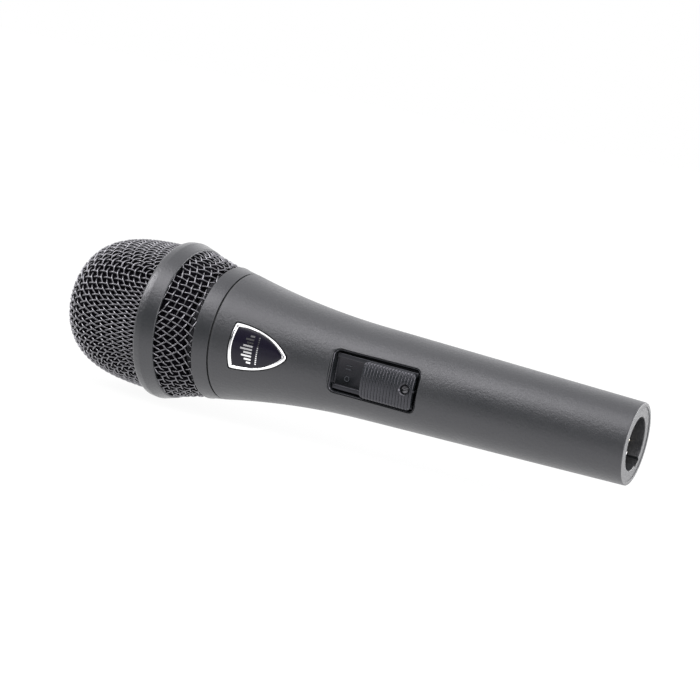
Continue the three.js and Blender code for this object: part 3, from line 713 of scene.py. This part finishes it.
# ---------- badge ----------
def shield(inset, steps=56):
    """The badge's outline, drawn in by an inset: a bulged end towards the head, a point towards the tail."""
    half = BADGE_HALF_WIDTH - inset
    corner = Vector((BADGE_HEAD - 0.35 - inset, half))
    tip = Vector((BADGE_TIP + 1.35 * inset, 0))
    pull = (Vector((corner.x - 6.7, half + 0.2)), Vector((tip.x + 3.2, 0.7 * half)))

    def side(t):
        ends = corner * (1 - t) ** 3 + tip * t ** 3
        return ends + pull[0] * 3 * t * (1 - t) ** 2 + pull[1] * 3 * t * t * (1 - t)

    def end(t):
        z = half * (2 * t - 1)
        return Vector((corner.x + 0.7 * (1 - (z / half) ** 2), z))

    def mirrored(points):
        return [Vector((p.x, -p.y)) for p in reversed(points)]

    near, far, cut = 0.03, 0.945, 0.97
    long_side = [side(t) for t in spread(near, far, steps)][1:-1]
    point = bend(side(far), tip, mirrored([side(far)])[0], 6)
    upper_turn = bend(end(cut), corner, side(near), 6)
    outline = upper_turn + long_side + point + mirrored(long_side)
    outline += mirrored(upper_turn) + [end(t) for t in spread(1 - cut, cut, 14)[1:-1]]
    return [(p.x, p.y) for p in outline]


def shield_rings(levels):
    """The shield laid on the handle, one ring for each [inset, offset] level."""
    return [[on_handle(s, z, offset) for s, z in shield(inset)] for inset, offset in levels]


def build_rim():
    rings = shield_rings([
        (0, -0.3), (0, 0.1), (0.06, 0.2), (0.32, RIM_HEIGHT - 0.02), (0.37, RIM_HEIGHT),
        (0.61, RIM_HEIGHT), (0.66, RIM_HEIGHT - 0.02), (0.90, 0.18), (0.96, 0.04), (0.96, -0.3),
    ])
    return loft("badge_rim_bright", rings + [rings[0]], CHROME, capped=False, sharp_angle=22)


def build_inlay():
    centre = (BADGE_TIP + BADGE_HEAD) / 2 + 1.5
    edge = shield(1.0)
    levels = [(1, -0.3), (1, 0.04), (0.985, 0.08)] + [(k, 0.09) for k in (0.85, 0.7, 0.55, 0.4, 0.25, 0.12)]
    rings = [[on_handle(centre + (s - centre) * k, z * k, offset) for s, z in edge] for k, offset in levels]
    return loft("badge_inlay", rings, INLAY)


def strip_rings(tail, head, lateral, half_width, high=0.2):
    """Rings along a thin raised strip that follows the badge's surface."""
    corners = ((-half_width, 0.02), (half_width, 0.02), (half_width, high), (-half_width, high))
    stations = spread(tail, head, STRIP_STEPS)
    return [[on_handle(s, lateral + z, offset) for z, offset in corners] for s in stations]


def build_badge_mark():
    """A plain level meter: bars of several heights above a row of dashes."""
    verts, faces = [], []
    for i, level in enumerate(METER_LEVELS):
        lateral = METER_PITCH * (i - (len(METER_LEVELS) - 1) / 2)
        skin(strip_rings(METER_BASE, METER_BASE + level, lateral, METER_HALF_WIDTH), verts, faces)
    for i in range(DASH_COUNT):
        lateral = DASH_PITCH * (i - (DASH_COUNT - 1) / 2)
        skin(strip_rings(*DASH_STATIONS, lateral, DASH_HALF_WIDTH, high=0.15), verts, faces)
    return make_object("badge_level_meter", verts, faces, CHROME)


# ---------- switch ----------
def build_bezel():
    """The switch's black tray, set just under the handle's surface."""
    length = WINDOW_LENGTH - BEZEL_CLEARANCE
    width = WINDOW_WIDTH - BEZEL_CLEARANCE

    def outline(inset):
        corner = max(LIP_CORNER - inset, 0.5)
        points = rounded_rectangle(length - 2 * inset, width - 2 * inset, corner)
        return [(WINDOW_CENTRE + s, z) for s, z in points]

    def level(inset, height):
        return [at(s, height, z) for s, z in outline(inset)]

    lip = [(0, -0.30), (0.06, -0.20), (0.14, -0.17), (0.20, -0.20), (0.48, -0.58), (0.53, -0.72)]
    rings = [
        level(0, BEZEL_BOTTOM),
        *[[on_handle(s, z, offset) for s, z in outline(inset)] for inset, offset in lip],
        level(0.55, BEZEL_FLOOR + 0.35),
        level(0.70, BEZEL_FLOOR + 0.1),
        level(0.90, BEZEL_FLOOR),
    ]
    bezel = loft("switch_bezel_shell", rings, BEZEL_PLASTIC)
    return boolean(bezel, ridge("slot", *TRAY_SLOT, 1.6, 8, 14, SWITCH_PLASTIC))


def build_rail(name, side):
    """One of the two rails the slider runs on, along the tray's long sides."""
    low = BEZEL_FLOOR - 0.2
    corners = [(side * z, h) for z, h in ((4.15, low), (4.15, RAIL_TOP), (5.5, RAIL_TOP), (5.5, low))]
    return bar(name, (BEZEL_TAIL + 0.6, BEZEL_HEAD - 0.6), corners, 0.25, SWITCH_PLASTIC)


def build_tray_nub():
    """A small moulded nub on the tray's tail wall, under the gap at the slider's end."""
    corners = [(-0.28, BEZEL_FLOOR), (-0.28, NUB_TOP), (0.28, NUB_TOP), (0.28, BEZEL_FLOOR)]
    return bar("switch_tray_nub", (BEZEL_TAIL + 0.3, SLIDER_TAIL - 0.08), corners, 0.15, SWITCH_PLASTIC)


def build_tray_marks():
    """A raised ring and two short bars on the tray's floor: the usual signs for off and on. Their plastic is
    lighter than the tray's, as a painted highlight on the raised marks.
    """
    station = SLIDER_HEAD + 5.7
    stations = (station - 0.95, station + 0.95)
    profile = [(0.62, 0), (0.64, MARK_HEIGHT), (0.84, MARK_HEIGHT), (0.88, 0)]
    corners = [(-0.16, -0.1), (-0.14, MARK_HEIGHT), (0.14, MARK_HEIGHT), (0.16, -0.1)]
    marks = [lathe_upright("mark_ring", station, -1.95, profile, MARK_HIGHLIGHT_PLASTIC)]
    for number, lateral in ((1, 1.0), (2, 2.1)):
        marks.append(bar(f"mark_bar_{number}", stations, corners, 0.05, MARK_HIGHLIGHT_PLASTIC, BEZEL_FLOOR, lateral))
    return marks


def slider_top(length, half_width):
    """The pad's crowned and ribbed face, as rows of [station, lateral, offset] points."""
    columns = RIB_COUNT * RIB_COLUMNS
    rows = []
    for s in spread(0, length, columns):
        end = min(s, length - s)
        half = half_width
        if end < SLIDER_CORNER:
            half = half_width - SLIDER_CORNER + math.sqrt(SLIDER_CORNER ** 2 - (SLIDER_CORNER - end) ** 2)
        phase = (s / length * RIB_COUNT) % 1.0
        groove = RIB_DEPTH * (1 - math.sin(math.pi * phase) ** 0.8)
        fade = min(1.0, max(0.0, (end - 0.3) / 0.3))
        row = []
        for j in range(SLIDER_ROWS + 1):
            across = -math.cos(math.pi * j / SLIDER_ROWS)
            inner = min(end, half * (1 - abs(across)))
            drop = SLIDER_EDGE - math.sqrt(max(0.0, SLIDER_EDGE ** 2 - max(0.0, SLIDER_EDGE - inner) ** 2))
            row.append((s, half * across - SLIDER_SHIFT, SLIDER_LIFT - drop - groove * fade))
        rows.append(row)
    return rows


def build_slider():
    """A finger pad with crosswise ribs, crowned to follow the handle, with soft edges and a screw hole."""
    start = SLIDER_TAIL - SLIDER_REACH
    bottom = -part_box("switch_slider")[1].y / MM
    rings = []
    for row in slider_top(SLIDER_HEAD - start, node_width("switch_slider") / 2 + SLIDER_WIDENING):
        under = [at(start + s, bottom, z) for s, z, _ in reversed(row)]
        rings.append([on_handle(start + s, z, offset) for s, z, offset in row] + under)
    slider = loft("switch_slider_pad", rings, SLIDER_PLASTIC, sharp_angle=50)
    return boolean(slider, lathe_upright("hole", SCREW_STATION, 0, SCREW_HOLE, SWITCH_PLASTIC))


def build_slider_screw():
    screw = lathe_upright("slider_screw_head", SCREW_STATION, 0, SCREW_HEAD, DARK_STEEL, facets=48)
    slot = ridge("slot", SCREW_STATION - 2, SCREW_STATION + 2, 0.36, BEZEL_FLOOR + 2.0, 16, DARK_STEEL)
    centre = Matrix.Translation((at(SCREW_STATION, 0, 0).x, 0, 0))
    slot.data.transform(centre @ rotation(SCREW_SLOT_TURN, "Y") @ centre.inverted())
    return boolean(screw, slot)


# ---------- grille ----------
def build_collar():
    rear = shifted(COLLAR_REAR, [(-0.25, 19.0), (-0.25, 19.8), (-0.19, 20.24), (0, 20.4)])
    front = [(-0.9, 21.12), (-0.55, 21.32), (-0.2, 21.36), (0, 21.24), (0.05, 21.0), (0, 20.0), (0, 19.0)]
    return lathe("collar_ring", rear + shifted(COLLAR_FRONT, front), BAND_PAINT)


def build_sleeve():
    """The collar's threaded inside, which carries on a little under the skirt."""
    grooves = spread(SLEEVE_FRONT - 0.8, COLLAR_REAR + 0.4, 12)
    outline = [
        (COLLAR_REAR - 0.2, COLLAR_BORE), (COLLAR_REAR - 0.2, COLLAR_BORE + 0.7),
        (COLLAR_FRONT + 0.1, COLLAR_BORE + 0.7), (COLLAR_FRONT + 0.1, 19.3),
        (SLEEVE_FRONT - 0.3, 19.3), (SLEEVE_FRONT, 19.0), (SLEEVE_FRONT, COLLAR_BORE),
        *[(s, COLLAR_BORE - 0.22 * (i % 2)) for i, s in enumerate(grooves)],
    ]
    return lathe("collar_thread_sleeve", outline, INNER_BLACK)


def build_band():
    """The band round the widest place: a long bevel behind its crest and a short one in front."""
    bevel = BAND_REAR + 0.5
    slope = (BAND_CREST_RADIUS - BAND_REAR_RADIUS) / (BAND_CREST - bevel)
    rear = [(0.3, 22.9), (0.3, 23.3), (0.05, 23.6), (-0.02, 23.9), (0.04, 24.15), (0.2, 24.33)]
    front = [
        (-0.9, 25.42), (-0.5, 25.36), (-0.2, 25.2), (-0.02, 24.98),
        (0.04, 24.7), (-0.05, 24.4), (-0.4, 23.9), (-1.2, 22.9),
    ]
    outline = shifted(BAND_REAR, rear) + [(bevel, BAND_REAR_RADIUS)]
    long_bevel = spread(bevel + 0.7, BAND_CREST - 0.3, 4)
    outline += [(s, BAND_REAR_RADIUS + slope * (s - bevel)) for s in long_bevel]
    outline += [(BAND_CREST, BAND_CREST_RADIUS), (BAND_CREST + 0.3, BAND_CREST_RADIUS + 0.02)]
    return lathe("equator_band_ring", outline + shifted(BAND_FRONT, front), BAND_PAINT, facets=FINE_ROUND)


def dome_arc(radius, length, start, end, count):
    """[station, radius] points along a dome's meridian; its tip is at a quarter turn."""
    points = []
    for angle in spread(start, end, count):
        along = math.sin(angle)
        points.append((DOME_CENTRE + length * along, radius * (1 - along ** DOME_POWER) ** (1 / DOME_POWER)))
    return points


def dome_profile():
    """The dome's meridian from its tip round to its side, and straight on past the tail."""
    arc = dome_arc(DOME_RADIUS, DOME_TIP - DOME_CENTRE, math.pi / 2, 0, 160)
    return np.array(arc + [(DOME_CENTRE - 70, DOME_RADIUS)])


def skirt_profile():
    """The bowl that the skirt's cloth was pressed over: a flat floor, a rounded corner and the cone."""
    front_radius = node_reach("skirt_mesh")
    rear_radius = front_radius - SKIRT_NARROWING
    slope = (front_radius - rear_radius) / (SKIRT_FRONT - SKIRT_REAR)
    floor = SKIRT_REAR - SKIRT_BEND
    low, middle = rear_radius - SKIRT_BEND, rear_radius - SKIRT_BEND * slope
    arc = bend(*np.array([(floor, low), (floor, middle), (SKIRT_REAR, rear_radius)]), 24)
    return np.array([(floor, 0), *arc, (SKIRT_FRONT + 50, front_radius + 50 * slope)])


def resample(profile):
    """Even steps along a numpy polyline, as arc lengths and points."""
    step = np.linalg.norm(np.diff(profile, axis=0), axis=1)
    keep = np.r_[True, step > 1e-6]
    arc = np.r_[0, np.cumsum(step)][keep]
    even = np.arange(0, arc[-1], ARC_STEP)
    return even, np.stack([np.interp(even, arc, profile[keep, k]) for k in (0, 1)], axis=1)


class Meridian:
    """A surface of revolution, set in by a depth, with places given by arc length from the pole."""

    def __init__(self, profile, depth):
        path = resample(profile)[1]
        slope = directions(path)
        out = np.stack([-slope[:, 1], slope[:, 0]], axis=1)
        self.side = 1 if out[-1, 1] > 0 else -1
        path = path - self.side * depth * out
        path[0, 1] = 0
        self.arc, path = resample(path)
        self.station, self.radius = path.T.copy()
        self.slope = directions(path)

    def place(self, arc, azimuth):
        station = np.interp(arc, self.arc, self.station)
        radius = np.interp(arc, self.arc, self.radius)
        return np.stack([station, radius * np.cos(azimuth), radius * np.sin(azimuth)], axis=-1)

    def project(self, points):
        """The arc length of the nearest place on the surface, and the azimuth, for each point."""
        station = points[..., 0].ravel()
        radius = np.hypot(points[..., 1], points[..., 2]).ravel()
        rough = slice(None, None, 8)
        far = (station[:, None] - self.station[rough]) ** 2 + (radius[:, None] - self.radius[rough]) ** 2
        near = np.argmin(far, axis=1)[:, None] * 8 + np.arange(-8, 9)
        near = np.clip(near, 0, len(self.arc) - 1)
        gap = (station[:, None] - self.station[near]) ** 2 + (radius[:, None] - self.radius[near]) ** 2
        best = near[np.arange(len(near)), np.argmin(gap, axis=1)]
        return self.arc[best].reshape(points.shape[:-1]), np.arctan2(points[..., 2], points[..., 1])

    def normals(self, arc, azimuth):
        along = -self.side * np.interp(arc, self.arc, self.slope[:, 1])
        out = self.side * np.interp(arc, self.arc, self.slope[:, 0])
        return np.stack([along, out * np.cos(azimuth), out * np.sin(azimuth)], axis=-1)


def pair(shape, step):
    """The slices that line up each crossing with the one a step away."""
    da, db = step
    first = (slice(0, shape[0] - da), slice(max(0, -db), shape[1] - max(0, db)))
    second = (slice(da, shape[0]), slice(max(0, db), shape[1] + min(0, db)))
    return first, second


def settle(points, used, surface, spacing, lock, rounds):
    """Lets the crossings of a wire cloth slide over the surface until they come to rest. The wires hold
    their spacing and resist bending, and no cell closes further than the lock."""
    wire_steps, cell_steps = ((1, 0), (0, 1)), ((1, 1), (1, -1))
    speed = np.zeros_like(points)
    for _ in range(rounds):
        push = np.zeros_like(points)
        share = np.full(used.shape, 1e-6)
        for step in wire_steps + cell_steps:
            first, second = pair(used.shape, step)
            gap = points[second] - points[first]
            length = np.maximum(np.linalg.norm(gap, axis=-1), 1e-6)
            rest = (spacing[first] + spacing[second]) / 2
            if step in wire_steps:
                error = (length - rest) / length
                weight = np.where(error > 0, 1.0, CRIMP_STIFFNESS)
            else:
                error = (length - lock * rest) / length
                weight = np.where(error < 0, 1.0, 0.0)
            weight = weight * (used[first] & used[second])
            shift = gap * (0.5 * error * weight)[..., None]
            push[first] += shift
            push[second] -= shift
            share[first] += weight
            share[second] += weight
        crossed = (points.swapaxes(0, 1), used.T, push.swapaxes(0, 1), share.T)
        for p, u, m, w in ((points, used, push, share), crossed):
            whole = BEND_STIFFNESS * (u[:-2] & u[1:-1] & u[2:])
            off = ((p[:-2] + p[2:]) / 2 - p[1:-1]) * whole[..., None]
            m[1:-1] += off
            m[:-2] -= 0.5 * off
            m[2:] -= 0.5 * off
            w[1:-1] += whole
            w[:-2] += 0.5 * whole
            w[2:] += 0.5 * whole
        speed = MOMENTUM * speed + push / share[..., None]
        moved = points + speed
        points = surface.place(*surface.project(moved))
        speed += points - moved
    return points


def press_cloth(surface, pitch, first_azimuth, lock, blank, floor=(0, 1)):
    """Square wire cloth, cut to a round blank and pressed over a surface, as its crossings and which of them
    are cloth. Its middle can be stretched first, by a (radius, factor). Every fourth wire settles first."""
    wires = 4 * math.ceil(blank / pitch / 4)
    points = None
    for coarse, rounds in ((4, 200), (2, 150), (1, 150)):
        offsets = np.arange(-wires, wires + 1, coarse) * pitch
        across, along = np.meshgrid(offsets, offsets, indexing="ij")
        flat = np.hypot(across, along)
        stretched = np.clip((floor[0] + 3 - flat) / 6, 0, 1)
        spacing = pitch * coarse * (1 + (floor[1] - 1) * stretched)
        if points is None:
            arc = flat + (floor[1] - 1) * np.minimum(flat, floor[0])
            azimuth = np.arctan2(along, across) + first_azimuth
            points = surface.place(np.minimum(arc, surface.arc[-1]), azimuth)
        else:
            points = surface.place(*surface.project(twice_as_fine(points)))
        points = settle(points, flat <= blank, surface, spacing, lock, rounds)
    return points, flat <= blank


def twice_as_fine(points):
    """The grid of points with new ones half way between neighbours."""
    for _ in (0, 1):
        finer = np.zeros((2 * len(points) - 1, *points.shape[1:]))
        finer[::2] = points
        finer[1::2] = (points[1:] + points[:-1]) / 2
        points = finer.swapaxes(0, 1)
    return points


def smooth_line(points, steps):
    """A Catmull-Rom curve through a numpy polyline."""
    padded = np.vstack([2 * points[0] - points[1], points, 2 * points[-1] - points[-2]])
    result = []
    for i in range(len(points) - 1):
        p0, p1, p2, p3 = padded[i:i + 4]
        for t in np.arange(steps) / steps:
            result.append(0.5 * (2 * p1 + (p2 - p0) * t + (2 * p0 - 5 * p1 + 4 * p2 - p3) * t ** 2
                                 + (3 * p1 - p0 - 3 * p2 + p3) * t ** 3))
    result.append(points[-1])
    return np.array(result)


def weave(name, surface, cloth, wire, keep, steps=5, sides=7):
    """Wires over and under each other along the pressed cloth, as round tubes, where keep() says."""
    points, used = cloth
    normals = surface.normals(*surface.project(points))
    parity = (np.add.outer(np.arange(used.shape[0]), np.arange(used.shape[1])) % 2) * 2 - 1
    verts, faces = [], []
    for family in (0, 1):
        lift = parity * (1 if family else -1) * wire * 1.04
        woven = points + normals * lift[..., None]
        for line in range(used.shape[family]):
            row = woven[line] if family == 0 else woven[:, line]
            for run in runs(used[line] if family == 0 else used[:, line]):
                if len(run) < 3:
                    continue
                path = smooth_line(row[run], steps)
                for piece in runs(keep(path)):
                    if len(piece) > 4:
                        sweep_tube(to_frame(path[piece]), wire * MM, sides, verts, faces)
    return make_object(name, verts, faces, WIRE, sharp_angle=60, welded=False)


def runs(flags):
    """The stretches of consecutive true values, as index lists."""
    groups = itertools.groupby(range(len(flags)), key=lambda i: flags[i])
    return [list(group) for inside, group in groups if inside]


def to_frame(path):
    return np.stack([TAIL_X - path[:, 0] * MM, -path[:, 1] * MM, path[:, 2] * MM], axis=1)


def build_dome_mesh():
    surface = Meridian(dome_profile(), 2 * DOME_WIRE)
    blank = np.interp(-DOME_CENTRE, -surface.station, surface.arc) + 6
    cloth = press_cloth(surface, DOME_PITCH, math.radians(DOME_LAY), DOME_LOCK, blank)
    return weave("dome_wire_cloth", surface, cloth, DOME_WIRE, lambda path: path[:, 0] > BAND_FRONT - 1.0)


def build_skirt_mesh():
    surface = Meridian(skirt_profile(), 2 * SKIRT_WIRE)
    cloth = press_cloth(surface, SKIRT_PITCH, math.radians(SKIRT_LAY), SKIRT_LOCK, SKIRT_BLANK, SKIRT_FLOOR)

    def keep(path):
        return (path[:, 0] > SKIRT_REAR - 0.1) & (path[:, 0] < BAND_REAR + 0.5)

    return weave("skirt_wire_cloth", surface, cloth, SKIRT_WIRE, keep)


def build_foam():
    """The foam cup that lines the grille, with a slightly uneven outer face."""
    rear = node_stations("foam_liner")[0]
    length = DOME_TIP - DOME_CENTRE - FOAM_GAP
    side = spread(rear, DOME_CENTRE - 0.8, 14)
    outline = [(s, FOAM_REAR_RADIUS + 2.0 * (s - rear) / (DOME_CENTRE - rear)) for s in side]
    outline += dome_arc(FOAM_RADIUS, length, 0.0, math.pi / 2, 60)
    outline += reversed(dome_arc(FOAM_INNER_RADIUS, length - 3.4, 0.0, math.pi / 2, 30))
    outline += [(s, FOAM_BORE) for s in spread(DOME_CENTRE - 1, rear, 6)]

    def wobble(station, radius, angle):
        if radius < 0.5 or radius < FOAM_BORE + 0.2 and station < 170:
            return 0
        spot = Vector((station, radius * math.cos(angle), radius * math.sin(angle))) * 0.9
        return 0.16 * noise.noise(spot)

    return lathe("foam_cup", outline, FOAM, facets=160, wobble=wobble)


# ---------- capsule front, seen when the grille is off ----------
def build_can():
    low, high = node_stations("capsule_housing")
    radius = node_reach("capsule_housing")
    groove = shifted(low, [(3, radius), (3.4, radius - 0.35), (4.2, radius - 0.35), (4.6, radius)])
    inside = [(high, radius), (high, radius - 1), (low + 1.5, radius - 1), (low + 1.5, 10)]
    return lathe("capsule_can", rounded([(low, 10), (low, radius), *groove, *inside], 0.25), CAN_METAL)


def build_perforated_cap():
    """The capsule's front: one hole in the middle and a ring of eight."""
    low, high = node_stations("resonator_cap")
    radius = node_reach("capsule_housing")
    rim = shifted(high, [(0, radius), (0, radius - 1.6), (-0.5, radius - 2.2), (-0.5, 0)])
    cap = lathe("perforated_cap", rounded([(low, 0), (low, radius), *rim], 0.35), CAN_METAL)
    hole = [(low - 2, CAP_HOLE), (high + 2, CAP_HOLE)]
    places = [(0, 0)] + [(CAP_HOLE_CIRCLE * math.sin(a), CAP_HOLE_CIRCLE * math.cos(a)) for a in circle(8)]
    for height, lateral in places:
        boolean(cap, loft("cap_hole", lengthwise_rings(hole, height, lateral), CAN_METAL))
    return cap


def build_shock_mount():
    low, high = node_stations("shock_mount")
    bore, flange = 13.7, node_reach("shock_mount")
    seat = [(0, 14.7), (0, flange), (1.8, flange), (2.0, 16.3), (2.5, 15.6), (3.1, 16.3)]
    outline = [(low, bore), (low, 14.7), *shifted(high - 3.9, seat), (high, 16.3), (high, bore)]
    return lathe("rubber_shock_mount", rounded(outline, 0.4), RUBBER)


def build_neck():
    low, high = node_stations("threaded_neck")
    step = HANDLE_END + 0.3
    return lathe("neck_core", rounded([
        (low, 15), (low, 16.4), (step, 16.4), (step, NECK_RADIUS), (high - 0.6, NECK_RADIUS),
        (high, NECK_RADIUS - 0.6), (high, 15),
    ], 0.2), STEEL)


def build_thread():
    """The neck's helical thread, faded in and out over a fifth of a turn."""
    start = HANDLE_END + 0.3
    sections = (node_stations("threaded_neck")[1] - start - 1.9) / THREAD_LEAD * THREAD_SECTIONS
    root = NECK_RADIUS - 0.15
    rings = []
    for i in range(int(sections) + 1):
        angle = 2 * math.pi * i / THREAD_SECTIONS
        middle = start + 0.8 + THREAD_LEAD * i / THREAD_SECTIONS
        fade = min(1, min(i, sections - i) / (0.2 * THREAD_SECTIONS))
        tall = root + (THREAD_CREST - root) * fade
        profile = ((-0.55, root - 0.05), (-0.12, tall), (0.12, tall), (0.55, root - 0.05))
        rings.append([at(middle + s, r * math.cos(angle), r * math.sin(angle)) for s, r in profile])
    return loft("neck_thread", rings, STEEL, sharp_angle=30)


# ---------- connector ----------
def build_pin(number):
    low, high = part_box(f"connector_pin_{number}")
    tail, rear = node_stations(f"connector_pin_{number}")
    radius = (high.z - low.z) / 2 / MM
    nose = shifted(tail, [(0.1, 0), (0.3, 0.4), (1.1, 0.85), (2, radius)])
    height, lateral = -(low.y + high.y) / 2 / MM, (low.z + high.z) / 2 / MM
    rings = lengthwise_rings([*nose, (rear, radius), (rear, 0)], height, lateral)
    return loft(f"pin_{number}", rings, BRASS, capped=False)


# ---------- assembly ----------
def seat(piece, body, slot, *nodes):
    """Puts a piece on its body, with the CAD nodes that it stands for."""
    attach(piece, body)
    if nodes:
        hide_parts(*nodes)


def assemble():
    finish_cad_nodes()
    seat(build_handle(), "handle", "body_paint", "handle_shell")
    seat(build_key_tip(), "handle", "steel")
    seat(build_rim(), "handle", "chrome", "badge_rim")
    seat(build_inlay(), "handle", "gloss_black", "badge_plate")
    seat(build_badge_mark(), "handle", "chrome")
    seat(build_bezel(), "handle", "black_plastic", "switch_bezel")
    for name, side in (("switch_rail_upper", 1), ("switch_rail_lower", -1)):
        seat(build_rail(name, side), "handle", "black_plastic")
    for mark in [build_tray_nub(), *build_tray_marks()]:
        seat(mark, "handle", "black_plastic")
    seat(build_slider(), "slider", "black_plastic", "switch_slider")
    seat(build_slider_screw(), "slider", "steel", "slider_screw")
    seat(build_can(), "handle", "steel", "capsule_housing")
    seat(build_perforated_cap(), "handle", "steel", "resonator_cap")
    seat(build_shock_mount(), "handle", "rubber", "shock_mount")
    seat(build_neck(), "handle", "steel", "threaded_neck")
    seat(build_thread(), "handle", "steel")
    for number in (1, 2, 3):
        seat(build_pin(number), "handle", "brass", f"connector_pin_{number}")
    seat(build_collar(), "grille", "body_paint", "grille_collar")
    seat(build_sleeve(), "grille", "body_paint")
    seat(build_band(), "grille", "body_paint", "equator_band")
    seat(build_dome_mesh(), "grille", "mesh_paint", "dome_mesh")
    seat(build_skirt_mesh(), "grille", "mesh_paint", "skirt_mesh")
    seat(build_foam(), "foam_cup", "foam", "foam_liner")


# ---------- studio ----------
def build_camera():
    data = bpy.data.cameras.new("camera")
    data.lens = CAMERA_LENS
    data.sensor_width = 36
    data.clip_end = 50
    camera = add_object("camera", data)
    turn = rotation(CAMERA_AZIMUTH, "Z") @ rotation(90 - CAMERA_ELEVATION, "X") @ rotation(CAMERA_ROLL, "Z")
    camera.matrix_world = Matrix.Translation(CAMERA_PLACE) @ turn
    bpy.context.scene.camera = camera


def softbox(name, place, target, size, power):
    data = bpy.data.lights.new(name, "AREA")
    data.shape = "RECTANGLE"
    data.size, data.size_y = size
    data.energy = power
    light = add_object(name, data)
    light.location = place
    light.rotation_euler = (Vector(target) - Vector(place)).to_track_quat("-Z", "Y").to_euler()


def build_floor():
    """Pale paper. The camera sees it nearly evenly lit; the object is lit by its brighter bounce."""
    level = cad_bounds[0].z - FLOOR_DROP
    corners = [(x * FLOOR_SIZE, y * FLOOR_SIZE, level) for x, y in ((-1, -1), (1, -1), (1, 1), (-1, 1))]
    m = Material("floor_paper", Roughness=0.9)
    m.set(Base_Color=m.mottle(m.noise(60, detail=2), grey(0.86), grey(0.89)))
    depth = m.add("ShaderNodeSeparateXYZ", {0: m.coordinates}).outputs["Y"]
    bounce = m.spread(depth, *FLOOR_BOUNCE, *FLOOR_BOUNCE_DEPTHS)
    paper = m.surface.outputs[0]
    lit = m.blend(FLOOR_GLOW, paper, m.emission(bounce))
    seen = m.blend(FLOOR_GLOW_SEEN, paper, m.emission(1.0))
    from_camera = m.add("ShaderNodeLightPath").outputs["Is Camera Ray"]
    m.feed(m.tree.nodes["Material Output"].inputs["Surface"], m.blend(from_camera, lit, seen))
    make_object("floor", corners, [(0, 1, 2, 3)], m.material, welded=False)


def build_world():
    """White to the camera. To everything else a room that is dark in front and bright above and behind."""
    world = bpy.data.worlds.new("studio")
    bpy.context.scene.world = world
    n = Nodes(world)
    n.tree.nodes.clear()
    sky = n.add("ShaderNodeTexCoord").outputs["Generated"]
    direction = n.add("ShaderNodeSeparateXYZ", {0: sky}).outputs
    angle = n.calculate("ARCTAN2", direction["Z"], n.calculate("MULTIPLY", direction["Y"], -1))
    curve = n.add("ShaderNodeFloatCurve", {"Value": n.spread(angle, 0, 1, 0, math.pi)})
    points = curve.mapping.curves[0].points
    spots = [(degrees / 180, strength / ROOM_SCALE) for degrees, strength in ROOM]
    points[0].location, points[-1].location = spots[0], spots[-1]
    for spot in spots[1:-1]:
        points.new(*spot)
    curve.mapping.update()
    strength = n.calculate("MULTIPLY", curve.outputs[0], ROOM_SCALE)
    room = n.add("ShaderNodeBackground", {"Color": (0.99, 0.985, 1.0), "Strength": strength}).outputs[0]
    white = n.add("ShaderNodeBackground", {"Color": grey(1)}).outputs[0]
    from_camera = n.add("ShaderNodeLightPath").outputs["Is Camera Ray"]
    n.add("ShaderNodeOutputWorld", {"Surface": n.blend(from_camera, room, white)})


def build_studio():
    build_camera()
    build_floor()
    build_world()
    softbox("key_softbox", (-0.3, -0.45, 0.66), (-0.3, 0, 0), (1.3, 0.42), 6.2)
    softbox("edge_softbox", (0.62, -0.3, 0.12), (-0.08, 0, 0), (0.3, 0.36), 2.6)
    softbox("head_softbox", (-0.8, -0.42, 0.5), (-0.14, 0, 0), (0.3, 0.5), 4)
    softbox("side_softbox", (0.5, 0.55, 0.1), (0, 0, 0), (0.5, 0.5), 6)
    bpy.context.scene.view_settings.view_transform = "Standard"


assemble()
build_studio()
